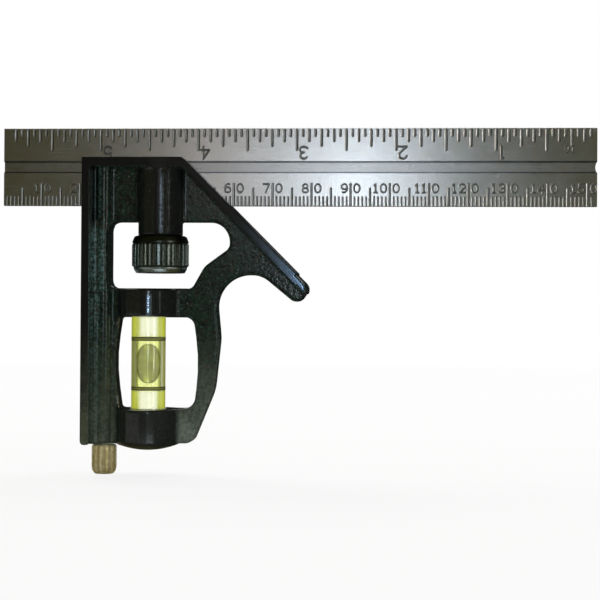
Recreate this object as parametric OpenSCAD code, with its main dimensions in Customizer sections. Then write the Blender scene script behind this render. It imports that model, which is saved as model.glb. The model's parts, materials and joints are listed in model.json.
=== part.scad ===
// Six-inch combination square: a cast head with a 90 degree face and a
// 45 degree face, a sliding grooved rule, a lock bolt with a knurled nut,
// a spirit level vial and a push-in scriber.
//
// Frame: X along the rule, Z up, Y through the thickness with the front at -Y.
// The origin is the inside corner of the square, where the rule's lower edge
// crosses the reference (90 degree) face, at mid-thickness. Millimetres.

/* [Rule] */
// Length of the rule
rule_l = 152.4; // [140:0.1:160]
// Width of the rule
rule_w = 20; // [19.5:0.1:20.5]
// Thickness of the rule
rule_t = 2.0; // [1.8:0.1:2.0]
// How far the rule's left end stands out of the reference face at rest
rule_out = 21.85; // [10:0.05:30]
// Width of the groove the lock bolt hooks into
groove_w = 2.75; // [2.6:0.05:3.0]
// Depth of that groove
groove_d = 0.8; // [0.7:0.05:0.9]

/* [Head] */
// Thickness across the machined faces
head_t = 16; // [15:0.5:18]
// Thickness of the web between the flanges
web_t = 5.5; // [5:0.5:8]
// Height of the head's top edge above the rule's lower edge
head_top = 12; // [11.8:0.1:12.5]
// Depth of the leg below the rule's lower edge
leg_drop = 61.3; // [60:0.1:63]
// Offset of the 45 degree face: x + z on that face
mitre = 37.5; // [37:0.1:38]
// Width of the flange behind the reference face
flange_w = 2.1; // [1.8:0.1:2.4]
// Height of the rim along the top edge
rim_h = 2.4; // [2:0.1:2.8]
// Height the machined 45 degree face stands above the cast tip
land_h = 0.35; // [0.2:0.05:0.5]
// Side clearance of the rule in its slot, each side
slot_gap = 0.1; // [0.08:0.01:0.15]

/* [Lock] */
// Distance of the lock bolt's axis from the reference face
lock_x = 19.5; // [19:0.1:20]
// Outside diameter of the lock boss
boss_d = 11.4; // [11:0.1:12]
// Lower end of the lock boss
boss_end = -7.8; // [-8.2:0.1:-7.4]
// Diameter of the lock bolt's head
bolt_d = 6.4; // [6:0.1:6.4]
// Diameter of the bolt's threaded shank
shank_d = 4; // [4:0.1:4]
// Outside diameter of the knurled nut
nut_d = 14.6; // [14:0.1:15]
// Height of the knurled nut
nut_h = 9.5; // [9:0.1:10]
// Number of flutes in the nut's knurl
nut_flutes = 36; // [24:2:48]

/* [Vial] */
// Distance of the vial's axis from the reference face
vial_x = 16.2; // [16:0.1:16.4]
// Outside diameter of the vial
vial_d = 8.8; // [8.6:0.1:8.8]
// Inside diameter of the vial
vial_bore_d = 7; // [6.6:0.1:7]
// Length of the bubble
bubble_l = 10; // [8:0.5:10]
// Diameter of the bubble
bubble_d = 4.7; // [4.5:0.1:5.8]

/* [Scriber] */
// Distance of the scriber's axis from the reference face
scriber_x = 4.8; // [4.7:0.1:4.9]
// Diameter of the scriber needle
needle_d = 1.6; // [1.4:0.1:1.6]
// Diameter of the scriber knob
knob_d = 6.5; // [6:0.1:6.6]
// Length of the scriber knob
knob_l = 7.5; // [7:0.1:8]

/* [Hidden] */
$fn = 64;

fit = 0.01;                    // gap that keeps fitted pieces apart
over = 1;                      // how far a cutter runs past a surface

// Head
full_t = head_t + 2*over;      // passes both machined faces
rim_z = head_top - rim_h;      // underside of the top rim
nut_window_x = 6.23;
nut_window_top = -4.25;
nut_window_bot = -21.25;
vial_window_top = -28.75;
vial_window_bot = -52.05;
vial_boss_r = head_t/2;
dome_r = 20.8;                 // ball-shaped end of the lower vial boss
dome_z = -42.1;
dome_below = -64;              // a level below the dome
land_end_x = 54.5;             // where the 45 degree face steps to the cast tip
land_step = land_h / sqrt(2);  // X and Z parts of that step

// Rule slot
slot_w = rule_t + 2*slot_gap;
slot_y = -slot_w/2;            // front wall
slot_z = -0.08;                // floor

// Lock
bolt_y = -2.3;                 // the bolt stands in front of the rule
shoulder_t = 1.5;              // floor of the bolt's bore, under the spring
bolt_head_z = -2.6;            // underside of the bolt's head
bolt_top = 10.75;
bolt_step_z = -1.15;           // foot of the bolt's step
groove_z = rule_w/2 - groove_w/2;
hook_z = groove_z + 0.08;      // underside of the bolt's hook
hook_h = 1.6;

// Vial
vial_top = -24.8;
vial_bot = -57.0;
vial_cap_t = 1.5;              // closed top end of the tube
end_plug_h = 2.5;
seat_r = vial_d/2 + 0.3;       // bore that holds the vial in the casting
ring_z = [-34.3, -47.0];       // level marks
ring_half_h = 0.55;
ring_depth = 0.11;
bubble_z = -40.6;
bubble_room = 4.65;            // free length beyond each end of the bubble

// Scriber
bush_bot = -leg_drop;
bush_top = bush_bot + 7;
bush_seat_r = 1.8;
bush_r = bush_seat_r - 2*fit;
bush_bore_r = 1.36;
bush_rim_r = 2.15;
needle_bore_top = -4.5;
taper_z = -12;                 // where the needle's point begins
taper_h = 6;

// ---- rounded outlines -------------------------------------------------
function unit(v) = v / norm(v);

// The arc of radius r that rounds the corner c between the points p and q.
function corner(p, c, q, r) =
    r <= 0 ? [c] :
    let (to_p = unit(p - c),
         to_q = unit(q - c),
         half = acos(max(-1, min(1, to_p*to_q))) / 2,
         centre = c + unit(to_p + to_q) * (r / sin(half)),
         start = c + to_p * (r / tan(half)) - centre,
         end = c + to_q * (r / tan(half)) - centre,
         angle = atan2(start[1], start[0]),
         sweep = (atan2(end[1], end[0]) - angle + 540) % 360 - 180,
         steps = max(2, ceil(abs(sweep) / 11)))
    [for (i = [0:steps])
        centre + r * [cos(angle + sweep*i/steps), sin(angle + sweep*i/steps)]];

function xz(c) = [c[0], c[1]];

// A polygon from a table of corners [x, z, radius].
function rounded(table) =
    let (n = len(table))
    [for (i = [0:n-1])
        each corner(xz(table[(i+n-1)%n]), xz(table[i]), xz(table[(i+1)%n]), table[i][2])];

// The head's outer edge, anticlockwise from the top of the reference face:
// [x, z, radius]
head_outline = rounded([
    [0, head_top, 0.3],
    [0, -leg_drop, 0.8],
    [28.0, -leg_drop + 0.3, 2.8],
    [33.6, -47.3, 14],
    [34.97, -34.0, 12],
    [33.4, -17.75, 8.2],
    [45.5, -17.75, 7.2],
    [55.0, -25.55, 2.3],
    [58.1, mitre - 58.1 - 2*land_step, 2.5],
    [land_end_x, mitre - land_end_x - 2*land_step, 0],
    [land_end_x + land_step, mitre - land_end_x - land_step, 0],
    [mitre - head_top, head_top, 0.7]]);

// The finger window round the nut: [x, z, radius]
nut_window = rounded([
    [nut_window_x, nut_window_top, 2.4],
    [nut_window_x, nut_window_bot, 2.4],
    [27.68, nut_window_bot, 1.9],
    [30.86, -15.5, 6],
    [37.33, -10.75, 2.2],
    [37.2, nut_window_top, 5.2]]);

// The window that shows the vial: [x, z, radius]
vial_window = rounded([
    [9.25, vial_window_top, 0.8],
    [7.6, -40, 45],
    [9.3, vial_window_bot, 0.8],
    [28.28, vial_window_bot, 3],
    [29.77, -40.5, 50],
    [28.08, vial_window_top, 2.5]]);

// ---- shared shapes -----------------------------------------------------
// A flat shape in the X-Z plane, thickened about y = 0.
module prism(points, thickness) {
    rotate([90, 0, 0])
        linear_extrude(height = thickness, center = true) polygon(points);
}

// A cylinder along Z from z0 to z1 at x, y.
module post(x, y, z0, z1, r) {
    translate([x, y, z0]) cylinder(h = z1 - z0, r = r);
}

module tube(x, y, z0, z1, outer_r, inner_r) {
    difference() {
        post(x, y, z0, z1, outer_r);
        post(x, y, z0 - over, z1 + over, inner_r);
    }
}

// The ball that shapes the lower end of the vial boss.
module dome() {
    translate([vial_x, 0, dome_z]) sphere(r = dome_r, $fn = 96);
}

// A ring of upright cutters on a circle round Z.
module flutes(count, circle_r, z0, length, r) {
    for (i = [0:count - 1])
        rotate([0, 0, i * 360 / count])
            translate([circle_r, 0, z0]) cylinder(h = length, r = r, $fn = 16);
}

// ---- head --------------------------------------------------------------
// Reference flange, top rim and 45 degree flange.
module head_flanges() {
    mitre_flange_end = -25.4;
    intersection() {
        prism(head_outline, head_t);
        union() {
            translate([-over, -full_t/2, -leg_drop - over])
                cube([over + flange_w, full_t, leg_drop + head_top + 2*over]);
            translate([-over, -full_t/2, rim_z])
                cube([mitre, full_t, rim_h + over]);
            prism([[mitre - head_top - 3.4, head_top + over],
                   [mitre + 22, mitre_flange_end],
                   [mitre + 30, mitre_flange_end],
                   [mitre - head_top + 3, head_top + over]], full_t);
        }
    }
}

// Round bosses above and below the vial window.
module vial_bosses() {
    post(vial_x, 0, vial_window_top, nut_window_bot, vial_boss_r);
    intersection() {
        post(vial_x, 0, dome_below, vial_window_bot, vial_boss_r);
        dome();
    }
}

// A pair of beads down the front and the back of the leg.
module leg_beads() {
    bead_r = 2;
    bead_y = 2.9;
    for (side = [-1, 1]) {
        post(scriber_x + 0.15, side*bead_y, -leg_drop, rim_z, bead_r);
        post(scriber_x - 2.05, side*bead_y, -leg_drop, -4, bead_r);
    }
}

// Slot for the rule, its floor relieved between two lands.
module rule_slot() {
    translate([-2, slot_y, slot_z]) cube([70, slot_w, 30]);
    translate([7, slot_y, -0.6]) cube([24, slot_w, 1]);
}

// Bore of the lock bolt, with a shoulder under the spring.
module lock_bore() {
    post(lock_x, bolt_y, boss_end + shoulder_t, 20, bolt_d/2 + 0.1);
    post(lock_x, bolt_y, boss_end - over, boss_end + 2, shank_d/2 + 0.2);
}

// Seats of the vial: open at the bottom, blind at the top.
module vial_seats() {
    post(vial_x, 0, vial_window_bot - 12, vial_window_bot + over, seat_r);
    post(vial_x, 0, vial_window_top - over, vial_top + 0.4, seat_r);
}

// Bores of the scriber's bush and needle.
module scriber_bores() {
    post(scriber_x, 0, bush_bot - over, bush_top, bush_seat_r);
    post(scriber_x, 0, bush_top - over, needle_bore_top, needle_d/2 + 0.1);
}

module head_casting() {
    color([0.10, 0.13, 0.11])
    difference() {
        union() {
            difference() {
                union() {
                    prism(head_outline, web_t);
                    head_flanges();
                    vial_bosses();
                    leg_beads();
                }
                prism(nut_window, full_t);
                prism(vial_window, full_t);
            }
            // the lock boss reaches down into the nut window
            post(lock_x, bolt_y, boss_end, rim_z, boss_d/2);
        }
        rule_slot();
        lock_bore();
        vial_seats();
        scriber_bores();
    }
}

// ---- rule --------------------------------------------------------------
module rule_blade() {
    scallop_r = 2.56;
    scallop_depth = 0.4;
    color([0.66, 0.66, 0.67])
    difference() {
        translate([-rule_out, -rule_t/2, 0]) cube([rule_l, rule_t, rule_w]);
        // groove along the front face
        translate([-rule_out - over, -rule_t/2 - over, groove_z])
            cube([rule_l + 2*over, over + groove_d, groove_w]);
        // scallop at the right end, where the groove runs out
        translate([rule_l - rule_out + scallop_r - scallop_depth, 0, rule_w/2])
            rotate([90, 0, 0])
                cylinder(h = rule_t + 2*over, r = scallop_r, center = true);
    }
}

// ---- lock --------------------------------------------------------------
// Cutter across the back of the bolt, from y backwards.
module bolt_cut(y, z, height) {
    translate([lock_x - 5, y, z]) cube([10, 6, height]);
}

module lock_bolt() {
    color([0.16, 0.16, 0.17])
    difference() {
        union() {
            post(lock_x, bolt_y, bolt_head_z, bolt_top, bolt_d/2);
            post(lock_x, bolt_y, boss_end - 8.4, bolt_head_z + 0.1, shank_d/2);
        }
        // room for the rule below and above the hook
        bolt_cut(slot_y, bolt_step_z, hook_z - bolt_step_z);
        bolt_cut(slot_y, hook_z + hook_h, 6);
        // the hook stops short of the groove's floor
        bolt_cut(-rule_t/2 + groove_d - 0.1, bolt_step_z, 14);
    }
}

// A round wire wound round Z from z0 to z1; steps is per turn.
module coil(r, wire_r, turns, z0, z1, steps = 18, sides = 8) {
    total = turns * steps;
    points = [for (i = [0:total]) for (j = [0:sides-1])
        let (turn = 360 * i / steps,
             around = 360 * j / sides,
             reach = r + wire_r * cos(around))
        [reach * cos(turn), reach * sin(turn),
         z0 + (z1 - z0) * i / total + wire_r * sin(around)]];
    skin = [for (i = [0:total-1]) for (j = [0:sides-1])
        let (k = (j + 1) % sides, p = i * sides)
        each [[p + j, p + k, p + sides + k], [p + j, p + sides + k, p + sides + j]]];
    caps = [[for (j = [sides-1:-1:0]) j], [for (j = [0:sides-1]) total * sides + j]];
    polyhedron(points = points, faces = concat(skin, caps), convexity = 6);
}

module lock_spring() {
    wire_r = 0.22;
    color([0.7, 0.7, 0.72])
    translate([lock_x, bolt_y, 0])
        coil(r = 2.62, wire_r = wire_r, turns = 4,
             z0 = boss_end + shoulder_t + wire_r + 0.04,
             z1 = bolt_head_z - wire_r - 0.06);
}

module lock_nut() {
    r = nut_d/2;
    bore_r = shank_d/2 + 0.06;
    color([0.12, 0.12, 0.13])
    translate([lock_x, bolt_y, boss_end - 0.08])
    difference() {
        // [radius, z] from the nut's top face
        rotate_extrude() polygon([
            [bore_r, 0], [r - 1.0, 0], [r - 0.55, -0.3], [r - 0.1, -1.45],
            [r - 0.1, -1.85], [r - 0.3, -1.95], [r - 0.3, -2.05], [r, -2.2],
            [r, -nut_h + 1.85], [r - 0.3, -nut_h + 1.62], [r - 0.45, -nut_h + 1.5],
            [r - 0.5, -nut_h + 0.9], [r - 1.05, -nut_h], [bore_r, -nut_h]]);
        flutes(count = nut_flutes, circle_r = r + 0.08, z0 = -nut_h + 1.55,
               length = nut_h - 3.6, r = 0.38);
    }
}

// ---- level vial ----------------------------------------------------------
module vial_tube() {
    color([0.86, 0.92, 0.45, 0.4])
    difference() {
        post(vial_x, 0, vial_bot, vial_top, vial_d/2);
        post(vial_x, 0, vial_bot - over, vial_top - vial_cap_t, vial_bore_d/2);
        // grooves for the level rings
        for (z = ring_z)
            tube(vial_x, 0, z - ring_half_h, z + ring_half_h,
                 vial_d/2 + over, vial_d/2 - ring_depth);
    }
}

module vial_end_plug() {
    color([0.85, 0.85, 0.8])
    post(vial_x, 0, vial_bot, vial_bot + end_plug_h, vial_bore_d/2 - fit);
}

module vial_liquid() {
    half_room = bubble_l/2 + bubble_room;
    color([0.80, 0.88, 0.10, 0.7])
    difference() {
        post(vial_x, 0, vial_bot + end_plug_h + 2*fit, vial_top - vial_cap_t - 2*fit,
             vial_bore_d/2 - fit);
        // the length of liquid the bubble can pass through
        post(vial_x, 0, bubble_z - half_room, bubble_z + half_room, bubble_d/2 + 0.1);
    }
}

// Half of an egg-ended bubble: [radius, z].
function bubble_profile(steps = 20) =
    [for (i = [0:steps]) let (a = -90 + 180*i/steps)
        [bubble_d/2 * pow(abs(cos(a)), 0.75), bubble_l/2 * sin(a)]];

module vial_bubble() {
    color([0.93, 0.96, 0.80, 0.5])
    translate([vial_x, 0, bubble_z]) rotate_extrude() polygon(bubble_profile());
}

module vial_level_rings() {
    half_h = ring_half_h - fit;
    color([0.05, 0.05, 0.05])
    for (z = ring_z)
        tube(vial_x, 0, z - half_h, z + half_h,
             vial_d/2 + 0.02, vial_d/2 - ring_depth + fit);
}

module vial_cement() {
    outer_r = seat_r - fit;
    inner_r = vial_d/2 + fit;
    color([0.8, 0.8, 0.75]) {
        tube(vial_x, 0, vial_window_top + 0.1, vial_top, outer_r, inner_r);
        tube(vial_x, 0, vial_bot, vial_window_bot - 0.1, outer_r, inner_r);
    }
}

module vial_bore_plug() {
    color([0.12, 0.13, 0.12])
    intersection() {
        post(vial_x, 0, dome_below, vial_bot - 0.2, seat_r - fit);
        dome();
    }
}

// ---- scriber ---------------------------------------------------------------
module scriber_needle() {
    color([0.7, 0.7, 0.72]) {
        post(scriber_x, 0, bush_bot - 4.5, taper_z, needle_d/2);
        translate([scriber_x, 0, taper_z])
            cylinder(h = taper_h, r1 = needle_d/2, r2 = 0.05);
    }
}

module scriber_knob() {
    r = knob_d/2;
    hole_r = needle_d/2 + fit;
    hole_z = -4.2;
    spigot_r = 1.3;
    spigot_h = 6.7;
    color([0.76, 0.62, 0.30])
    translate([scriber_x, 0, bush_bot - 0.35])
    difference() {
        // [radius, z] from the knob's shoulder; the spigot stands above it
        rotate_extrude() polygon([
            [hole_r, spigot_h], [spigot_r - 0.2, spigot_h], [spigot_r, spigot_h - 0.3],
            [spigot_r, 0], [r - 0.35, 0], [r, -0.35],
            [r, -knob_l + 1.7], [r - 0.2, -knob_l + 0.85], [r - 0.65, -knob_l + 0.2],
            [r - 1.0, -knob_l], [0, -knob_l], [0, hole_z], [hole_r, hole_z]]);
        flutes(count = 12, circle_r = r + 0.12, z0 = -knob_l + 1.4,
               length = knob_l - 2.0, r = 0.36);
    }
}

module scriber_bush() {
    color([0.86, 0.85, 0.80])
    union() {
        tube(scriber_x, 0, bush_bot, bush_top - 0.1, bush_r, bush_bore_r);
        // rim under the leg, and the neck that joins it to the bush
        tube(scriber_x, 0, bush_bot - 0.25, bush_bot - fit, bush_rim_r, bush_bore_r);
        tube(scriber_x, 0, bush_bot - 0.1, bush_bot + 0.1, bush_r, bush_bore_r);
    }
}

head_casting();
rule_blade();
lock_bolt();
lock_spring();
lock_nut();
vial_tube();
vial_end_plug();
vial_liquid();
vial_bubble();
vial_level_rings();
vial_cement();
vial_bore_plug();
scriber_needle();
scriber_knob();
scriber_bush();
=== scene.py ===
"""Combination square: an enamelled head with a vial and scriber, clamped on a steel rule.

The rule lies along X with its lower edge at z = 0, and its marked side faces the front (-Y).
The head hangs below it. Its reference face is the plane x = 0, its 45 degree face is
x + z = MITRE, and its thickness runs along Y. Sizes are in millimetres unless said otherwise.
"""
import json
import math

import bpy
import numpy as np
from mathutils import Matrix, Vector
from mathutils.geometry import delaunay_2d_cdt

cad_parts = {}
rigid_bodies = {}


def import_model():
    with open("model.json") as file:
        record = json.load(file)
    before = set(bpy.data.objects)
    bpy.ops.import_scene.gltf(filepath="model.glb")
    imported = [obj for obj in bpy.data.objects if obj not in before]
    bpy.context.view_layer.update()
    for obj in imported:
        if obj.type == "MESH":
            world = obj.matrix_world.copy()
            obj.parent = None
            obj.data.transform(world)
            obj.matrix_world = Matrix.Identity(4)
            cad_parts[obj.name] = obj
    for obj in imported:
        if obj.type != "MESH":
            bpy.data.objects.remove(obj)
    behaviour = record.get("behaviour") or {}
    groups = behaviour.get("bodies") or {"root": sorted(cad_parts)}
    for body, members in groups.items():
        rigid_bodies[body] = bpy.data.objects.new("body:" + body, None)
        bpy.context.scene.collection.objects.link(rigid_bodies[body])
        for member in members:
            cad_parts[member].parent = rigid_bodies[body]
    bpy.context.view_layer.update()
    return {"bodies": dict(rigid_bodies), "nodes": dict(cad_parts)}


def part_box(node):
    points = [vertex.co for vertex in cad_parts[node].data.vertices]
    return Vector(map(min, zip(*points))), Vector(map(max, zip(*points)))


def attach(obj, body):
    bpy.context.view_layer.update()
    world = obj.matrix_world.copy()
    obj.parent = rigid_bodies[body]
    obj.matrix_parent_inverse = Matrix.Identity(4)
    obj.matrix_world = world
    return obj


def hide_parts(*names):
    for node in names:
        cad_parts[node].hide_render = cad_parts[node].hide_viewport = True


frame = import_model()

MM = 0.001
SQ2 = math.sqrt(2.0)

# ---------------------------------------------------------------------------
# Driving sizes
# ---------------------------------------------------------------------------


def cad(node):
    """Low and high corner of a CAD node's box."""
    low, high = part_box(node)
    return np.array(low) / MM, np.array(high) / MM


RULE_LO, RULE_HI = cad("rule_blade")
NUT_LO, NUT_HI = cad("lock_nut")
TUBE_LO, TUBE_HI = cad("vial_tube")
LIQUID_LO, LIQUID_HI = cad("vial_liquid")
BUBBLE_LO, BUBBLE_HI = cad("vial_bubble")
KNOB_LO, KNOB_HI = cad("scriber_knob")

MITRE = 37.5            # x + z on the 45 degree face
HALF_DEPTH = 8.0        # half the thickness of the head over its flanges
HALF_WEB = 2.75         # half the thickness of the web
LEG = 61.3              # depth of the head below the rule
TOP = 12.0              # height of the head above the rule's lower edge
LAND = 0.35             # step at the lower end of the 45 degree face
LAND_X = 54.5           # where that step is
LOCK = (19.5, -2.3)     # x, y of the lock bolt's axis
VIAL_X = 16.2
SCRIBER_X = 4.8
RING_Z = (-34.3, -47.0)     # level marks on the vial
VIAL_AXIS = (VIAL_X, 0.0)

# ---------------------------------------------------------------------------
# Mesh helpers
# ---------------------------------------------------------------------------


def build(name, verts, faces, smooth_angle, attrs):
    """A smooth mesh object. Faces are lists of indices or an (n, 4) array."""
    mesh = bpy.data.meshes.new(name)
    metres = np.asarray(verts, float) * MM
    if isinstance(faces, np.ndarray):
        count = len(faces)
        mesh.vertices.add(len(metres))
        mesh.vertices.foreach_set("co", metres.astype(np.float32).ravel())
        mesh.loops.add(count * 4)
        mesh.loops.foreach_set("vertex_index", faces.astype(np.int32).ravel())
        mesh.polygons.add(count)
        mesh.polygons.foreach_set("loop_start", np.arange(0, count * 4, 4, dtype=np.int32))
        mesh.polygons.foreach_set("loop_total", np.full(count, 4, np.int32))
        mesh.update(calc_edges=True)
    else:
        mesh.from_pydata([tuple(p) for p in metres], [], [list(map(int, f)) for f in faces])
        mesh.update()
    mesh.validate()
    mesh.polygons.foreach_set("use_smooth", np.ones(len(mesh.polygons), bool))
    mesh.set_sharp_from_angle(angle=math.radians(smooth_angle))
    for key, values in attrs.items():
        attribute = mesh.attributes.new(key, "FLOAT", "POINT")
        attribute.data.foreach_set("value", np.asarray(values, np.float32))
    ob = bpy.data.objects.new(name, mesh)
    bpy.context.scene.collection.objects.link(ob)
    return ob


def lathe(name, profile, segs, axis, smooth_angle, radius=None, closed=False):
    """A turned shape round a vertical axis at (x, y).

    The profile is [(r, z, weight)], and a point with r 0 is a pole. radius(r, z, weight, angles)
    may change the radius round the turn. closed joins the last point to the first.
    The attribute cav is how deep a point lies below the plain turned surface.
    """
    angles = np.arange(segs) * 2 * math.pi / segs
    verts, rings, cav = [], [], []
    for r, z, weight in profile:
        pole = r < 1e-6
        rings.append((pole, len(verts)))
        if pole:
            verts.append((*axis, z))
            cav.append(0.0)
            continue
        radii = np.full(segs, r) if radius is None else radius(r, z, weight, angles)
        for angle, q in zip(angles, radii):
            verts.append((axis[0] + q * math.cos(angle), axis[1] + q * math.sin(angle), z))
            cav.append(min(1.0, max(0.0, (r - q) / 0.25)))
    faces = []
    pairs = list(zip(rings[:-1], rings[1:]))
    if closed:
        pairs.append((rings[-1], rings[0]))
    for (pole_a, a), (pole_b, b) in pairs:
        for s in range(segs):
            t = (s + 1) % segs
            if not pole_a and not pole_b:
                faces.append((a + s, a + t, b + t, b + s))
            elif not pole_b:
                faces.append((a, b + t, b + s))
            elif not pole_a:
                faces.append((a + s, a + t, b))
    return build(name, verts, faces, smooth_angle, {"cav": cav})


def corner_arc(before, corner, after, radius, limit=False):
    """Arc that rounds a corner: centre, radius, start angle and turn.

    With limit, the arc shrinks so that it takes less than half of either side.
    """
    corner = np.array(corner[:2], float)
    a = np.array(before[:2], float) - corner
    b = np.array(after[:2], float) - corner
    len_a, len_b = np.linalg.norm(a), np.linalg.norm(b)
    a, b = a / len_a, b / len_b
    half = math.acos(float(np.clip(a @ b, -1, 1))) / 2
    reach = radius / math.tan(half)
    if limit:
        reach = min(reach, 0.49 * len_a, 0.49 * len_b)
        radius = reach * math.tan(half)
    centre = corner + (a + b) / np.linalg.norm(a + b) * (radius / math.sin(half))
    first, last = corner + a * reach - centre, corner + b * reach - centre
    start = math.atan2(first[1], first[0])
    turn = (math.atan2(last[1], last[0]) - start + math.pi) % (2 * math.pi) - math.pi
    return centre, radius, start, turn


def fillet(rows, steps):
    """Open profile [(r, z, weight)] from rows of r, z, corner radius and weight.

    The corner radius and the weight may be left out, and are then 0.
    """
    out = []
    for i, row in enumerate(rows):
        r, z, corner, weight = (*row, 0.0, 0.0)[:4] if len(row) < 4 else row
        if i in (0, len(rows) - 1) or corner <= 0:
            out.append((r, z, weight))
            continue
        centre, radius, start, turn = corner_arc(rows[i - 1], row, rows[i + 1], corner, limit=True)
        for k in range(steps + 1):
            angle = start + turn * k / steps
            out.append((centre[0] + radius * math.cos(angle),
                        centre[1] + radius * math.sin(angle), weight))
    return out


def rounded(corners, step=6.0):
    """Closed outline from rows of x, z and corner radius. step is in degrees."""
    out = []
    for i, corner in enumerate(corners):
        if corner[2] <= 0:
            out.append(np.array(corner[:2], float))
            continue
        following = corners[(i + 1) % len(corners)]
        centre, radius, start, turn = corner_arc(corners[i - 1], corner, following, corner[2])
        count = max(2, math.ceil(abs(math.degrees(turn)) / step))
        for j in range(count + 1):
            angle = start + turn * j / count
            out.append(centre + radius * np.array([math.cos(angle), math.sin(angle)]))
    return np.array(out)


def finish(ob, material, body, node):
    """Gives a built piece its material, the body it moves with and the CAD node it replaces."""
    paint(ob, material)
    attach(ob, body)
    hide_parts(node)


def paint(ob, material):
    ob.data.materials.clear()
    ob.data.materials.append(material)


# ---------------------------------------------------------------------------
# Head casting as a signed distance
# ---------------------------------------------------------------------------

# Corners in the X-Z plane: x, z, corner radius
OUTLINE = rounded([
    (0, TOP, 0.3), (0, -LEG, 0.8), (28.0, -LEG + 0.3, 2.8), (33.6, -47.3, 14),
    (34.97, -34.0, 12), (33.4, -17.75, 8.2), (45.5, -17.75, 7.2), (55.0, -25.55, 2.3),
    (58.1, MITRE - 58.1 - LAND * SQ2, 2.5), (LAND_X, MITRE - LAND_X - LAND * SQ2, 0),
    (LAND_X + LAND / SQ2, MITRE - LAND_X - LAND / SQ2, 0), (MITRE - TOP, TOP, 0.7)])
UPPER_WINDOW = rounded([
    (6.23, -4.25, 2.4), (6.23, -21.25, 2.4), (27.68, -21.25, 1.9), (30.86, -15.5, 6),
    (37.33, -10.75, 2.2), (37.2, -4.25, 5.2)])
LOWER_WINDOW = rounded([
    (9.25, -28.75, 0.8), (7.6, -40, 45), (9.3, -52.05, 0.8), (28.28, -52.05, 3),
    (29.77, -40.5, 50), (28.08, -28.75, 2.5)])

PLAN_LO, PLAN_HI, PLAN_STEP = (-5.0, -68.0), (64.0, 18.0), 0.1

BEAD_R, BEAD_Y = 2.0, 2.9       # the two beads along the leg, on each side of the web
BEAD_X = (4.95, 2.75)
VIAL_BOSS_R = 8.0
SEAT_R = 4.7                    # seats of the vial
DOME_R, DOME_Z = 20.8, -42.1    # sphere that hollows the boss below the vial
LOCK_BOSS_R, LOCK_BOSS_Z = 5.7, -7.8
LOCK_BORE_R, LOCK_SHOULDER_Z, BOLT_R = 3.3, -6.3, 2.2
SLOT_HALF = 1.1                 # half the width of the rule's slot
SLOT_Z, RELIEF_Z = -0.08, -0.6
RELIEF_X, RELIEF_HALF = 19.0, 12.0
DRAFT = 0.035                   # slope of the window walls


class Plan:
    """Signed distance to a closed outline in the X-Z plane, sampled on a fine grid."""

    def __init__(self, outline):
        low, step = PLAN_LO, PLAN_STEP
        nx, nz = (int((PLAN_HI[k] - low[k]) / step) + 1 for k in range(2))
        X, Z = np.meshgrid(low[0] + step * np.arange(nx), low[1] + step * np.arange(nz),
                           indexing="ij")
        best = np.full(X.shape, 1e9)
        inside = np.zeros(X.shape, bool)
        for a, b in zip(outline, np.roll(outline, -1, axis=0)):
            side = b - a
            square = float(side @ side)
            if square < 1e-16:
                continue
            t = np.clip(((X - a[0]) * side[0] + (Z - a[1]) * side[1]) / square, 0, 1)
            best = np.minimum(best, (X - a[0] - t * side[0]) ** 2 + (Z - a[1] - t * side[1]) ** 2)
            if abs(side[1]) > 1e-15:
                crosses = ((a[1] <= Z) & (Z < b[1])) | ((b[1] <= Z) & (Z < a[1]))
                inside ^= crosses & (X < a[0] + (Z - a[1]) * side[0] / side[1])
        dist = np.sqrt(best)
        self.grid = np.where(inside, -dist, dist)

    def __call__(self, x, z):
        grid = self.grid
        u = np.clip((x - PLAN_LO[0]) / PLAN_STEP, 0, grid.shape[0] - 1.001)
        v = np.clip((z - PLAN_LO[1]) / PLAN_STEP, 0, grid.shape[1] - 1.001)
        i, j = u.astype(np.int32), v.astype(np.int32)
        fu, fv = u - i, v - j
        return ((grid[i, j] * (1 - fu) + grid[i + 1, j] * fu) * (1 - fv)
                + (grid[i, j + 1] * (1 - fu) + grid[i + 1, j + 1] * fu) * fv)


outline_plan, upper_plan, lower_plan = Plan(OUTLINE), Plan(UPPER_WINDOW), Plan(LOWER_WINDOW)


def meet(a, b, r):
    """Intersection with a round edge of radius r."""
    return np.minimum(-r, np.maximum(a, b)) + np.hypot(np.maximum(a + r, 0), np.maximum(b + r, 0))


def join(a, b, r):
    """Union with a fillet of radius r."""
    return np.maximum(r, np.minimum(a, b)) - np.hypot(np.maximum(r - a, 0), np.maximum(r - b, 0))


def carve(solid, tool):
    return np.maximum(solid, -tool)


def mitre_distance(x, z):
    """Distance out of the 45 degree face."""
    return (x + z - MITRE) / SQ2


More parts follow.
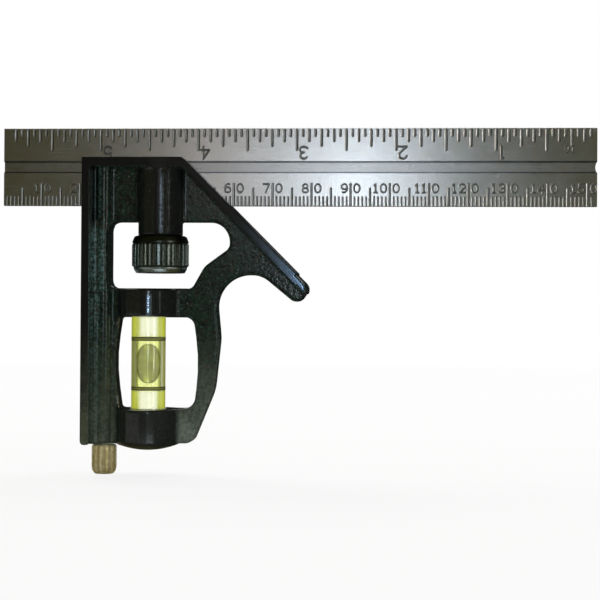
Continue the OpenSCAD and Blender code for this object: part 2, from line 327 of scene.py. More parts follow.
def head_sdf(x, y, z):
    """The head casting, negative inside. Takes arrays that broadcast together."""
    ay = np.abs(y)
    x, z = x + 0 * z, z + 0 * x
    # web between raised flanges: along the reference face, the top and the 45 degree face
    by_mitre = meet(-0.7164 * (x - 22.1) - 0.6977 * (z - 13.0), -24.9 - z, 1.4)
    plan = np.minimum(np.minimum(x - 2.1, 9.6 - z), by_mitre)
    flange = meet(plan, ay - HALF_DEPTH, 0.28)
    solid = join(ay - HALF_WEB, flange, 0.4)
    # beads along the leg, the outer one only below the top of the web
    inner = np.hypot(x - BEAD_X[0], ay - BEAD_Y) - BEAD_R
    outer = np.maximum(np.hypot(x - BEAD_X[1], ay - BEAD_Y) - BEAD_R, z + 4.0)
    solid = join(solid, np.minimum(inner, outer), 0.25)
    # outer edge: crisp along the machined faces, round where it is as cast
    machined = ((x < 1.2) & (z > -60.5)) | ((mitre_distance(x, z) > -0.9) & (x < 54.6)) | (z > 11.0)
    solid = meet(solid, outline_plan(x, z), np.where(machined, 0.12, 0.6))
    # bosses above and below the vial
    from_vial = np.hypot(x - VIAL_X, y)
    upper = np.maximum(from_vial - VIAL_BOSS_R, np.maximum(z + 21.0, -28.9 - z))
    solid = join(solid, upper, 0.7)
    dome = np.sqrt((x - VIAL_X) ** 2 + y ** 2 + (z - DOME_Z) ** 2) - DOME_R
    lower = np.maximum(meet(from_vial - VIAL_BOSS_R, dome, 0.6), z + 51.6)
    solid = join(solid, lower, 0.7)
    # windows, opening slightly towards each side
    draft = DRAFT * np.maximum(ay - 0.2, 0)
    solid = meet(solid, -(upper_plan(x, z) - draft), 0.5)
    solid = meet(solid, -(lower_plan(x, z) - draft), 0.55)
    # lock boss
    from_lock = np.hypot(x - LOCK[0], y - LOCK[1])
    boss = np.maximum(meet(from_lock - LOCK_BOSS_R, LOCK_BOSS_Z - z, 0.35), z - 10.0)
    solid = join(solid, boss, 0.8)
    solid = np.maximum(solid, z - TOP)
    # the bosses end flush with the flanges at the front and back
    solid = meet(solid, ay - HALF_DEPTH - 0.02, 0.05)
    # slot for the rule, with its floor relieved between two lands
    solid = carve(solid, np.maximum(ay - SLOT_HALF, SLOT_Z - z))
    relief = np.maximum(np.maximum(ay - SLOT_HALF, RELIEF_Z - z), np.abs(x - RELIEF_X) - RELIEF_HALF)
    solid = carve(solid, relief)
    # bore of the lock bolt and its shoulder
    solid = carve(solid, np.maximum(from_lock - LOCK_BORE_R, LOCK_SHOULDER_Z - z))
    solid = carve(solid, from_lock - BOLT_R)
    # vial seats: blind above, open below, with a small chamfer at the lower mouth
    solid = carve(solid, np.maximum(from_vial - SEAT_R, np.abs(z + 26.8) - 2.4))
    solid = carve(solid, np.maximum(from_vial - SEAT_R, z + 51.0))
    mouth = from_vial - SEAT_R - np.maximum(0, 0.9 + (z + 52.05)) * 0.8
    solid = carve(solid, np.maximum(mouth, np.abs(z + 51.6) - 1.4))
    # scriber bores: wide at the foot, narrow above
    from_scriber = np.hypot(x - SCRIBER_X, y)
    solid = carve(solid, np.maximum(from_scriber - 1.8, z + LEG - 7.0))
    return carve(solid, np.maximum(from_scriber - 0.9, z + 4.5))


def contour(field, low, high, step):
    """Closed quad mesh of field = 0 by dual contouring, which keeps the surface's sharp edges."""
    axes = [low[k] + step * np.arange(int(math.ceil((high[k] - low[k]) / step)) + 1)
            for k in range(3)]
    count = [len(axis) for axis in axes]
    cells = [n - 1 for n in count]
    values = np.empty(count, np.float32)
    for i in range(0, count[0], 16):
        values[i:i + 16] = field(axes[0][i:i + 16, None, None], axes[1][None, :, None],
                                 axes[2][None, None, :])
    inside = values < 0
    units = np.eye(3, dtype=int)
    all_points, all_normals, all_quads = [], [], []
    for k in range(3):
        # grid edges along axis k that cross the surface
        at = np.argwhere(np.diff(inside, axis=k))
        keep = np.ones(len(at), bool)
        for m in range(3):
            if m != k:
                keep &= (at[:, m] > 0) & (at[:, m] < count[m] - 1)
        at = at[keep]
        f0 = values[tuple(at.T)].astype(float)
        f1 = values[tuple((at + units[k]).T)].astype(float)
        base = np.stack([axes[m][at[:, m]] for m in range(3)], 1)
        # refine each crossing by false position
        t0, t1 = np.zeros(len(at)), np.ones(len(at))
        g0, g1 = f0.copy(), f1.copy()
        t = g0 / (g0 - g1)
        for _ in range(3):
            g = field(*(base + step * t[:, None] * units[k]).T)
            same = (g < 0) == (g0 < 0)
            t0, g0 = np.where(same, t, t0), np.where(same, g, g0)
            t1, g1 = np.where(same, t1, t), np.where(same, g1, g)
            fall = np.where(np.abs(g0 - g1) < 1e-12, 1e-12, g0 - g1)
            t = np.clip(t0 + (t1 - t0) * g0 / fall, np.minimum(t0, t1), np.maximum(t0, t1))
        points = base + step * t[:, None] * units[k]
        probe = 0.03
        normals = np.stack([field(*(points + probe * unit).T) - field(*(points - probe * unit).T)
                            for unit in units], 1)
        normals /= np.maximum(np.linalg.norm(normals, axis=1), 1e-12)[:, None]
        # each crossing makes a quad between the four cells round its edge
        u, v = units[(k + 1) % 3], units[(k + 2) % 3]
        quads = np.stack([np.ravel_multi_index(tuple((at + du * u + dv * v).T), cells)
                          for du, dv in ((-1, -1), (0, -1), (0, 0), (-1, 0))], 1)
        flip = ~(f0 < 0)
        quads[flip] = quads[flip][:, ::-1]
        all_points.append(points)
        all_normals.append(normals)
        all_quads.append(quads)
    ids, corner = np.unique(np.concatenate(all_quads).ravel(), return_inverse=True)
    corner = corner.reshape(-1)
    total = len(ids)
    points = np.repeat(np.concatenate(all_points), 4, axis=0)
    normals = np.repeat(np.concatenate(all_normals), 4, axis=0)
    uses = np.bincount(corner, minlength=total).astype(float)
    mean = np.stack([np.bincount(corner, points[:, k], total) for k in range(3)], 1) / uses[:, None]
    # least squares: the point of each cell nearest to all its tangent planes
    offset = (normals * (points - mean[corner])).sum(1)
    matrix = np.zeros((total, 3, 3))
    target = np.zeros((total, 3))
    for r in range(3):
        target[:, r] = np.bincount(corner, normals[:, r] * offset, total)
        for c in range(r, 3):
            matrix[:, r, c] = matrix[:, c, r] = np.bincount(
                corner, normals[:, r] * normals[:, c], total)
    matrix += np.eye(3) * 0.08
    verts = mean + np.linalg.solve(matrix, target[:, :, None])[:, :, 0]
    cell_at = np.unravel_index(ids, cells)
    cell_lo = np.stack([axes[k][cell_at[k]] for k in range(3)], 1)
    verts = np.clip(verts, cell_lo + 0.02 * step, cell_lo + 0.98 * step)
    return verts, corner.reshape(-1, 4)


def convexity(verts, faces):
    """How far each vertex stands out of its neighbours: above zero on edges, below in corners."""
    edges = np.concatenate([faces[:, [k, (k + 1) % 4]] for k in range(4)])
    total = len(verts)
    face_normal = np.cross(verts[faces[:, 2]] - verts[faces[:, 0]],
                           verts[faces[:, 3]] - verts[faces[:, 1]])
    normal = np.zeros_like(verts)
    for k in range(4):
        for c in range(3):
            normal[:, c] += np.bincount(faces[:, k], face_normal[:, c], total)
    normal /= np.maximum(np.linalg.norm(normal, axis=1), 1e-12)[:, None]
    a, b = edges[:, 0], edges[:, 1]
    degree = np.bincount(a, minlength=total) + np.bincount(b, minlength=total)

    def mean(f):
        return (np.bincount(a, f[b], total) + np.bincount(b, f[a], total)) / np.maximum(degree, 1)

    offset = np.stack([mean(verts[:, c]) for c in range(3)], 1) - verts
    stand = -(offset * normal).sum(1)
    for _ in range(2):
        stand = 0.5 * stand + 0.5 * mean(stand)
    return stand


# ---------------------------------------------------------------------------
# Node graphs
# ---------------------------------------------------------------------------


class Value:
    """A node output. Arithmetic on it adds Math nodes to its graph."""

    def __init__(self, graph, socket):
        self.graph, self.socket = graph, socket

    def __add__(self, other):
        return self.graph.math("ADD", self, other)

    def __radd__(self, other):
        return self.graph.math("ADD", other, self)

    def __sub__(self, other):
        return self.graph.math("SUBTRACT", self, other)

    def __rsub__(self, other):
        return self.graph.math("SUBTRACT", other, self)

    def __mul__(self, other):
        return self.graph.math("MULTIPLY", self, other)

    def __truediv__(self, other):
        return self.graph.math("DIVIDE", self, other)

    def __pow__(self, other):
        return self.graph.math("POWER", self, other)

    def __abs__(self):
        return self.graph.math("ABSOLUTE", self)


class Graph:
    """A node tree with short calls for the nodes used here."""

    def __init__(self, tree):
        self.tree = tree
        tree.nodes.clear()

    def put(self, socket, value):
        if isinstance(value, Value):
            self.tree.links.new(value.socket, socket)
        elif socket.type == "RGBA" and len(value) == 3:
            socket.default_value = (*value, 1.0)
        else:
            socket.default_value = value

    def node(self, kind, inputs=None, **props):
        node = self.tree.nodes.new("ShaderNode" + kind)
        for key, value in props.items():
            setattr(node, key, value)
        for key, value in (inputs or {}).items():
            self.put(node.inputs[key], value)
        return node

    def value(self, kind, inputs=None, out=0, **props):
        return Value(self, self.node(kind, inputs, **props).outputs[out])

    def math(self, operation, a, b=0.0):
        return self.value("Math", {0: a, 1: b}, operation=operation)

    def max(self, a, b):
        return self.math("MAXIMUM", a, b)

    def min(self, a, b):
        return self.math("MINIMUM", a, b)

    def remap(self, value, start, end, to=(0.0, 1.0)):
        """Takes start..end to the range `to`, clamped."""
        return self.value("MapRange", {"Value": value, "From Min": start, "From Max": end,
                                       "To Min": to[0], "To Max": to[1]}, clamp=True)

    def mix(self, factor, a, b):
        """a where factor is 0, b where it is 1."""
        return self.value("Mix", {0: factor, 6: a, 7: b}, out=2, data_type="RGBA")

    def mix_shader(self, factor, a, b):
        return self.value("MixShader", {0: factor, 1: a, 2: b})

    def split(self, vector):
        return [Value(self, socket) for socket in self.node("SeparateXYZ", {0: vector}).outputs]

    def rays(self, *kinds):
        node = self.node("LightPath")
        return [Value(self, node.outputs[f"Is {kind} Ray"]) for kind in kinds]


class Mat(Graph):
    """A Principled material. Texture coordinates are object space in millimetres."""

    INPUTS = {"color": "Base Color", "metallic": "Metallic", "rough": "Roughness", "ior": "IOR",
              "normal": "Normal", "spec": "Specular IOR Level", "trans": "Transmission Weight",
              "emit": "Emission Color", "emit_s": "Emission Strength"}

    def __init__(self, name):
        self.material = bpy.data.materials.new(name)
        self.material.use_nodes = True
        super().__init__(self.material.node_tree)
        self.output = self.node("OutputMaterial")
        self.bsdf = self.node("BsdfPrincipled")
        self.surface(Value(self, self.bsdf.outputs[0]))
        coords = self.value("TexCoord", out="Object")
        self.coords = self.value("VectorMath", {0: coords, "Scale": 1000.0}, operation="SCALE")

    def surface(self, shader):
        self.put(self.output.inputs["Surface"], shader)

    def set(self, **values):
        """Sets the Principled inputs and returns the material."""
        for key, value in values.items():
            self.put(self.bsdf.inputs[self.INPUTS[key]], value)
        return self.material

    def stretch(self, x, y, z):
        return self.value("VectorMath", {0: self.coords, 1: (x, y, z)}, operation="MULTIPLY")

    def noise(self, scale, detail=3.0, rough=0.5, vec=None, distortion=0.0):
        return self.value("TexNoise", {"Vector": vec or self.coords, "Scale": scale,
                                       "Detail": detail, "Roughness": rough,
                                       "Distortion": distortion}, out="Fac")

    def attr(self, name):
        return self.value("Attribute", out="Fac", attribute_type="GEOMETRY", attribute_name=name)

    def xyz(self):
        return self.split(self.coords)

    def facing(self):
        """0 where the surface looks straight at the viewer, 1 at its outline."""
        return self.value("LayerWeight", {"Blend": 0.5}, out="Facing")

    def edge(self, radius):
        """1 near a sharp edge or corner, 0 on flat ground."""
        bevel = self.value("Bevel", {"Radius": radius * MM}, samples=4)
        normal = self.value("NewGeometry", out="Normal")
        dot = self.value("VectorMath", {0: bevel, 1: normal}, out="Value", operation="DOT_PRODUCT")
        return self.remap(dot, 0.995, 0.8)

    def bump(self, height, distance, strength):
        return self.value("Bump", {"Strength": strength, "Distance": distance * MM,
                                   "Height": height})


# ---------------------------------------------------------------------------
# Materials
# ---------------------------------------------------------------------------


def worn_spot(mat, boss, across, shift, fade, top, bottom):
    """A narrow upright painted highlight on the front of a boss, between the fades at its top and
    bottom.
    """
    _, y, z = mat.xyz_values
    band = mat.remap(abs(across + shift), *fade, to=(1.0, 0.0))
    return boss * band * (mat.remap(z, *top) * mat.remap(z, *bottom) * mat.remap(y, -7.0, -7.6))


def bead_mask(mat, x, z, cast, rim):
    """1 along the painted highlights of the beads: a pair on the leg and a single line at its top.
    """
    lower = mat.remap(z, -21.9, -22.5)
    gate = mat.remap(z, -4.2, -8.0) * (1.0 - lower) + mat.remap(z, -22.7, -23.2)
    outer = mat.mix(lower, abs(x - 2.55), abs(x - 2.1) * 1.8)
    inner = mat.mix(lower, abs(x - 4.65), abs(x - 3.6) * 1.3)
    bead_highlight = mat.remap(mat.min(outer, inner), 0.72, 1.0, to=(1.0, 0.0)) * gate
    above = (mat.remap(abs(x - 4.05), 0.22, 0.50, to=(1.0, 0.0))
             * mat.remap(z, -4.0, -3.0, to=(0.0, 0.9)))
    return mat.max(bead_highlight, above) * (cast * (1.0 - rim))


def enamel():
    """Dark green-black hammer-finish enamel; ground faces are blackened, rims are smoother. Painted
    highlights on the bosses, beads and tip, painted glints on one edge, and painted light towards
    the foot.
    """
    green_black, green = (0.0065, 0.0080, 0.0075), (0.013, 0.033, 0.024)
    brown, rim_black, boss_black = (0.040, 0.030, 0.020), (0.0125, 0.0120, 0.0120), \
        (0.0135, 0.0132, 0.0138)
    # lighter paint colours towards the foot: painted light from the floor
    foot_light_olive, foot_light_grey = (0.095, 0.105, 0.072), (0.175, 0.195, 0.165)
    # the third colour is for painted glints on an edge
    flake_green, chip_grey, glint_blue = (0.22, 0.33, 0.30), (0.10, 0.13, 0.12), (0.30, 0.38, 0.46)
    # both colours are painted highlights, on the bosses and on the beads
    highlight_blue, bead_highlight_green = (0.25, 0.32, 0.41), (0.10, 0.185, 0.18)
    face_dark, face_light, face_worn = (0.006, 0.006, 0.0065), (0.016, 0.016, 0.017), \
        (0.10, 0.10, 0.10)
    # colours of the painted reflection on the tip's rim
    tip_sheen_dark, tip_sheen_light = (0.12, 0.17, 0.24), (0.17, 0.24, 0.335)

    mat = Mat("hammer_enamel")
    machined = mat.attr("mach")
    cast = 1.0 - machined
    rim = mat.attr("rim")
    edge = mat.attr("edge")
    x, y, z = mat.xyz_values = mat.xyz()
    cells = mat.value("TexVoronoi", {"Vector": mat.coords, "Scale": 1.25, "Randomness": 1.0,
                                     "Smoothness": 0.7}, out="Distance", feature="SMOOTH_F1")
    fine = mat.noise(3.0, rough=0.55)
    broad = mat.noise(0.16, rough=0.55)
    mottle = mat.noise(0.95, rough=0.6, distortion=0.4)

    # paint: green-black ground with green and brown mottling
    ground = mat.mix(mat.remap(mottle, 0.36, 0.66), green_black, green)
    brown_noise = mat.noise(0.85, rough=0.6, vec=mat.stretch(1.0, 1.3, 0.9))
    ground = mat.mix(mat.remap(brown_noise, 0.56, 0.70, to=(0.0, 0.8)), ground, brown)
    ground = mat.mix(rim, ground, rim_black)

    # the vial and lock bosses, and their duller right flanks
    vial_dx = x - VIAL_X
    from_vial = mat.math("SQRT", vial_dx * vial_dx + y * y)
    lock_dx, lock_dy = x - LOCK[0], y - LOCK[1]
    from_lock = mat.math("SQRT", lock_dx * lock_dx + lock_dy * lock_dy)
    vial_boss = mat.remap(from_vial, 8.1, 8.5, to=(1.0, 0.0)) * mat.remap(z, -20.6, -21.2) * cast
    lock_boss = mat.remap(from_lock, 5.9, 6.3, to=(1.0, 0.0)) * mat.remap(z, -8.2, -7.8) * cast
    boss = mat.max(vial_boss, lock_boss)
    dull = vial_boss * mat.remap(vial_dx, 2.2, 2.9) + lock_boss * mat.remap(lock_dx, 1.9, 2.5)
    ground = mat.mix(boss * 0.8, ground, boss_black)

    # painted light: towards the foot the paint turns lighter and greyer (olive near the reference
    # face, grey further right), in place of light from the floor below; mottled, and kept off the
    # vial bosses
    off_boss = mat.remap(from_vial, 8.1, 9.2, to=(0.05, 1.0))
    low = mat.remap(z, -30.0, -63.0) ** 1.35 * off_boss
    foot_light_mottle = broad * 0.4 + mat.noise(1.15, detail=4.0, rough=0.65) * 0.6
    painted_light_tone = mat.remap(foot_light_mottle, 0.36, 0.62, to=(0.30, 1.25)) * low
    ground = mat.mix(mat.min(painted_light_tone, 1.0), ground,
                     mat.mix(mat.remap(x, 8.0, 16.0), foot_light_olive, foot_light_grey))

    # flakes, chips on the edges, and painted glints: bright bluish flecks on the edge of the arc
    # below the nose
    flake = mat.remap(mat.noise(1.9, rough=0.62), 0.625, 0.68)
    flake = flake * cast * (1.0 - mat.max(rim, boss * 0.8))
    paint_color = mat.mix(flake * 0.60, ground, flake_green)
    worn = mat.remap(edge, 0.035, 0.09)
    chip_noise = mat.noise(0.8, detail=4.0, rough=0.65)
    chip = worn * mat.remap(chip_noise, 0.42, 0.62, to=(0.10, 1.0))
    paint_color = mat.mix(chip * 0.22, paint_color, chip_grey)
    arc_edge = mat.remap(x, 31.0, 33.5) * mat.remap(z, -16.5, -18.5)
    painted_glint = arc_edge * worn * mat.remap(mat.noise(1.6, rough=0.6), 0.50, 0.60, to=(0.0, 0.8))
    paint_color = mat.mix(painted_glint, paint_color, glint_blue)

    # painted highlights: small bright bluish metallic patches on the fronts of the bosses, where the
    # key lights reflect
    highlight_fleck = mat.noise(1.5, rough=0.6)
    vial_highlight = worn_spot(mat, vial_boss, vial_dx, shift=-1.32, fade=(0.38, 0.78),
                          top=(-22.6, -24.0), bottom=(-28.4, -27.8))
    lock_highlight = worn_spot(mat, lock_boss, lock_dx, shift=-1.10, fade=(0.28, 0.62),
                          top=(8.2, 5.5), bottom=(-7.6, -6.8))
    painted_highlight = mat.max(vial_highlight * mat.remap(highlight_fleck, 0.30, 0.50, to=(0.35, 1.0)),
                   lock_highlight * mat.remap(highlight_fleck, 0.40, 0.58, to=(0.05, 0.55)))
    paint_color = mat.mix(painted_highlight, paint_color, highlight_blue)

    # painted highlights: lighter green paint, mottled, along the highlights of the beads, fading
    # lower on the leg
    bead_highlight = bead_mask(mat, x, z, cast, rim)
    bead_highlight_mottle = mat.remap(mat.noise(1.5, rough=0.65), 0.42, 0.64)
    paint_color = mat.mix(bead_highlight * bead_highlight_mottle * mat.remap(z, -20.0, -40.0, to=(1.0, 0.35)),
                          paint_color, bead_highlight_green)

    # ground faces: fine lines along the face, blackened
    lines = mat.noise(1.0, detail=4.0, rough=0.6, vec=mat.stretch(0.9, 9.0, 0.9))
    black = mat.mix(mat.remap(lines, 0.3, 0.7), face_dark, face_light)
    black = mat.mix(worn * 0.3, black, face_worn)

    # painted reflection: towards the tip the rim turns to bright metal with a blue cast, stronger
    # the nearer the tip, in place of a bluish light's reflection; the metal also reflects the lamps
    painted_tip_sheen = rim * cast * mat.remap(x, 38.0, 57.5) ** 1.7
    tip_sheen_color = mat.mix(mat.remap(mottle, 0.35, 0.68), tip_sheen_dark, tip_sheen_light)
    color = mat.mix(machined, mat.mix(painted_tip_sheen, paint_color, tip_sheen_color), black)
    paint_rough = mat.mix(rim, mat.remap(fine, 0.3, 0.7, to=(0.13, 0.19)),
                          mat.remap(fine, 0.3, 0.7, to=(0.17, 0.21)))
    rough = mat.mix(machined, paint_rough, mat.remap(lines, 0.3, 0.7, to=(0.36, 0.5)))

    # relief: hammered on cast ground, softer on the rims and vial bosses, lined on ground faces
    hammer = cells * 0.75 + fine * 0.5
    relief = (1.0 - rim * 0.85) + (bead_highlight * 1.1 + lock_boss * 0.5 - vial_boss * 0.45)
    height = hammer * cast * relief + lines * machined * 0.06
    spec = mat.remap(machined, 0.0, 1.0, to=(0.37, 0.16)) * (1.0 - rim * 0.70)
    spec = spec * (1.0 + (boss * 1.2 - dull * 1.95))
    return mat.set(color=color, rough=rough, spec=spec,
                   metallic=mat.max(mat.max(painted_tip_sheen, painted_highlight), flake * 0.6),
                   normal=mat.bump(height, distance=0.036, strength=0.9))


def steel_rule():
    """Satin ground steel, lengthwise grain, with stamped marks that are rougher and darker. Painted
    shade along the groove and the upper edge, painted light on the marks' left flanks, painted
    reflection in the tarnish towards the ends.
    """
    steel_dark, steel_light = (0.56, 0.54, 0.525), (0.61, 0.59, 0.58)
    grain_grey, speck_brown = (0.40, 0.385, 0.355), (0.26, 0.235, 0.19)
    tarnish_reflection_tan, tarnish_reflection_green = (0.56, 0.44, 0.34), (0.40, 0.50, 0.38)
    # the first colour is painted shade along the groove's edges
    groove_shade_blue, cut_dark = (0.040, 0.045, 0.075), (0.10, 0.105, 0.125)
    # colour of the painted shade on the upper edge
    top_edge_shade_grey = (0.22, 0.215, 0.205)

    mat = Mat("satin_rule_steel")
    cut_and_lit_flank = mat.attr("cut_and_lit_flank")
    groove_shade = mat.attr("groove_shade")
    x, _, z = mat.xyz()
    grain = mat.noise(1.0, detail=5.0, rough=0.65, vec=mat.stretch(0.02, 4.0, 7.0))
    fine = mat.noise(1.0, rough=0.6, vec=mat.stretch(0.08, 9.0, 16.0))
    blotch = mat.noise(0.11, detail=4.0, rough=0.6, distortion=0.6)
    speck = mat.remap(mat.noise(1.7, detail=4.0, rough=0.7), 0.66, 0.78)
    color = mat.mix(mat.remap(blotch, 0.35, 0.7), steel_dark, steel_light)
    color = mat.mix(mat.remap(grain, 0.3, 0.7) * 0.15, color, grain_grey)
    color = mat.mix(speck * 0.22, color, speck_brown)
    # tarnish blotches, with painted reflection: they grow stronger towards both ends, in place of
    # the olive and brown reflections there
    tan = mat.noise(0.42, rough=0.6, vec=mat.stretch(1.0, 1.0, 1.4))
    green = mat.noise(0.36, rough=0.6, vec=mat.stretch(1.2, 1.0, 0.9))
    ends = mat.max(mat.remap(x, 70.0, 120.0, to=(0.25, 1.0)),
                   mat.remap(x, 40.0, -10.0, to=(0.25, 1.0)))
    color = mat.mix(mat.remap(tan, 0.52, 0.68, to=(0.0, 0.42)) * ends, color, tarnish_reflection_tan)
    color = mat.mix(mat.remap(green, 0.54, 0.70, to=(0.0, 0.34)) * ends, color, tarnish_reflection_green)
    # painted shade along the groove's edges
    color = mat.mix(groove_shade, color, groove_shade_blue)
    # stamped marks darker and rougher, with painted light on their left flanks
    color = mat.mix(cut_and_lit_flank * 0.80, color, cut_dark)
    rough = mat.remap(fine, 0.3, 0.7, to=(0.225, 0.265)) + cut_and_lit_flank * 0.16
    rough = rough + mat.remap(blotch, 0.4, 0.7) * 0.02
    height = grain * 0.6 + fine * 0.4
    # painted shade: the narrow upper edge is darker and rougher, so it catches less of the top light
    edge = mat.remap(z, 19.93, 19.99)
    color = mat.mix(edge * 0.7, color, top_edge_shade_grey)
    return mat.set(color=color, metallic=1.0, rough=rough + edge * 0.20,
                   normal=mat.bump(height, distance=0.0022, strength=0.5))


def metal(name, dark, light, rough=(0.3, 0.42), wear=(0.3, 0.3, 0.3), scale=1.2, metallic=1.0,
          bump=0.01, cav=None, wear_amount=0.5, stretch=(1, 1, 1)):
    """Mottled metal with worn edges. cav is (amount, colour) for the hollows of a turned shape."""
    mat = Mat(name)
    vec = mat.stretch(*stretch)
    broad = mat.noise(scale, detail=4.0, rough=0.6, vec=vec)
    fine = mat.noise(scale * 6, rough=0.6, vec=vec)
    color = mat.mix(mat.remap(broad, 0.32, 0.68), dark, light)
    worn = mat.edge(radius=0.16) * (mat.remap(fine, 0.3, 0.6, to=(0.4, 1.0)) * wear_amount)
    color = mat.mix(worn, color, wear)
    if cav is not None:
        color = mat.mix(mat.attr("cav") * cav[0], color, cav[1])
    return mat.set(color=color, metallic=metallic, rough=mat.remap(fine, 0.3, 0.7, to=rough),
                   spec=0.5, normal=mat.bump(fine, distance=bump, strength=0.7))


def plastic(name, dark, light, rough=(0.3, 0.5), bump=0.01):
    return metal(name, dark, light, rough=rough, wear=(0.8, 0.8, 0.78), scale=0.8, metallic=0.0,
                 bump=bump, wear_amount=0.25)


def vial_tube_mat():
    """Clear yellow-green acrylic with fine draw lines; painted light: emission makes its flanks and
    ends glow, dimmer at its outline.
    """
    mat = Mat("vial_acrylic_tinted")
    lines = mat.noise(1.0, vec=mat.stretch(3.0, 3.0, 0.25))
    z = mat.xyz()[2]
    ends = mat.max(mat.remap(z, -34.0, -33.4), mat.remap(z, -47.3, -47.9))
    facing = mat.facing()
    glow = mat.mix(ends, mat.remap(facing, 0.24, 0.50), mat.remap(facing, 0.14, 0.42))
    dim = mat.remap(facing, 0.42, 0.80, to=(1.0, 0.40))
    # glow colours: middle and ends of the tube, then its outline
    tint = mat.mix(ends, (0.20, 0.21, 0.035), (0.52, 0.56, 0.05))
    shade = mat.mix(1.0 - dim, tint, (0.14, 0.145, 0.05))
    clear = mat.mix(mat.remap(lines, 0.3, 0.7), (0.95, 0.97, 0.80), (0.98, 0.99, 0.88))
    return mat.set(color=mat.mix(glow, clear, (0.10, 0.11, 0.02)), trans=1.0 - glow * 0.92,
                   emit=shade, emit_s=glow * 0.85,
                   rough=mat.remap(lines, 0.3, 0.7, to=(0.015, 0.05)), ior=1.49,
                   normal=mat.bump(lines, distance=0.004, strength=0.5))


def liquid_mat():
    """Yellow-green spirit; painted light: it turns almost white towards both ends."""
    mat = Mat("vial_spirit")
    z = mat.xyz()[2]
    cloud = mat.noise(0.5)
    ends = mat.max(mat.remap(z, -34.2, -33.2), mat.remap(z, -47.1, -48.1))
    middle = mat.mix(mat.remap(cloud, 0.3, 0.7), (0.885, 0.92, 0.42), (0.915, 0.945, 0.48))
    return mat.set(color=mat.mix(ends, middle, (0.995, 0.997, 0.965)), trans=1.0,
                   rough=mat.remap(cloud, 0.3, 0.7, to=(0.0, 0.02)), ior=1.40)


def ring_mat():
    """Level mark: black ink, with a painted greenish glow along its middle where the ink is thinner,
    fading towards its outline.
    """
    mat = Mat("ring_ink")
    z = mat.xyz()[2]
    cloud = mat.noise(1.5, rough=0.6)
    off_middle = mat.min(abs(z + -RING_Z[0]), abs(z + -RING_Z[1]))
    ring_middle_glow = (mat.remap(off_middle, 0.10, 0.34, to=(1.0, 0.0))
            * mat.remap(mat.facing(), 0.2, 0.6, to=(1.0, 0.25)))
    return mat.set(color=mat.mix(mat.remap(cloud, 0.3, 0.7), (0.006, 0.006, 0.003),
                                 (0.02, 0.02, 0.008)),
                   rough=mat.remap(cloud, 0.3, 0.7, to=(0.35, 0.55)),
                   emit=mat.mix(ring_middle_glow, (0.022, 0.023, 0.004), (0.15, 0.155, 0.035)), emit_s=1.0)


def bubble_mat():
    """Air in the spirit, painted as emission: dull olive with a painted bright upright streak, and
    painted shade at its outline.
    """
    mat = Mat("air_bubble")
    cloud = mat.noise(0.55, rough=0.6)
    facing = mat.facing()
    body = mat.mix(mat.remap(cloud, 0.35, 0.65), (0.17, 0.175, 0.075), (0.27, 0.28, 0.125))
    x, _, z = mat.xyz()
    across = abs(x + (0.15 - VIAL_X))
    tall = mat.remap(abs(z + 40.6), 2.6, 4.3, to=(0.15, 1.0))
    # painted highlight: the bright upright streak
    streak = (mat.remap(across, 0.25, 0.75, to=(1.0, 0.0))
              * (tall * mat.remap(cloud, 0.35, 0.6, to=(0.5, 1.0))))
    body = mat.mix(streak, body, (0.62, 0.64, 0.20))
    # painted shade: darker towards the outline
    painted_light_tone = mat.mix(mat.remap(facing, 0.36, 0.62), body, (0.050, 0.054, 0.010))
    return mat.set(color=(0.20, 0.205, 0.09), trans=0.12,
                   rough=mat.remap(cloud, 0.3, 0.7, to=(0.05, 0.14)), ior=1.33,
                   emit=painted_light_tone, emit_s=0.85, normal=mat.bump(cloud, distance=0.05, strength=0.5))


def nut_mat():
    """Black oxide, worn brighter on the knurl's crests and on the plain band below it."""
    crest_grey, band_grey = (0.34, 0.39, 0.375), (0.62, 0.68, 0.70)
    top_black, groove_black = (0.065, 0.075, 0.066), (0.045, 0.055, 0.045)
    top, bottom = NUT_HI[2], NUT_LO[2]

    mat = Mat("black_oxide_knurl")
    z = mat.xyz()[2]
    broad = mat.noise(1.1, detail=4.0, rough=0.6)
    fine = mat.noise(5.0, rough=0.6, vec=mat.stretch(1.0, 1.0, 0.35))
    color = mat.mix(mat.remap(broad, 0.32, 0.68), (0.08, 0.095, 0.080), (0.16, 0.18, 0.165))
    knurl = mat.remap(z, top - 2.3, top - 2.6) * mat.remap(z, bottom + 1.6, bottom + 1.9)
    crest = knurl * (1.0 - mat.attr("cav"))
    color = mat.mix(crest * mat.remap(fine, 0.35, 0.6, to=(0.35, 0.9)), color, crest_grey)
    color = mat.mix(mat.remap(z, bottom + 1.45, bottom + 1.2) * 0.9, color, band_grey)
    color = mat.mix(mat.remap(z, top - 2.3, top - 1.9) * 0.85, color, top_black)
    color = mat.mix(mat.attr("cav") * 0.7, color, groove_black)
    return mat.set(color=color, metallic=1.0, rough=mat.remap(fine, 0.3, 0.7, to=(0.24, 0.34)),
                   normal=mat.bump(fine, distance=0.010, strength=0.7))


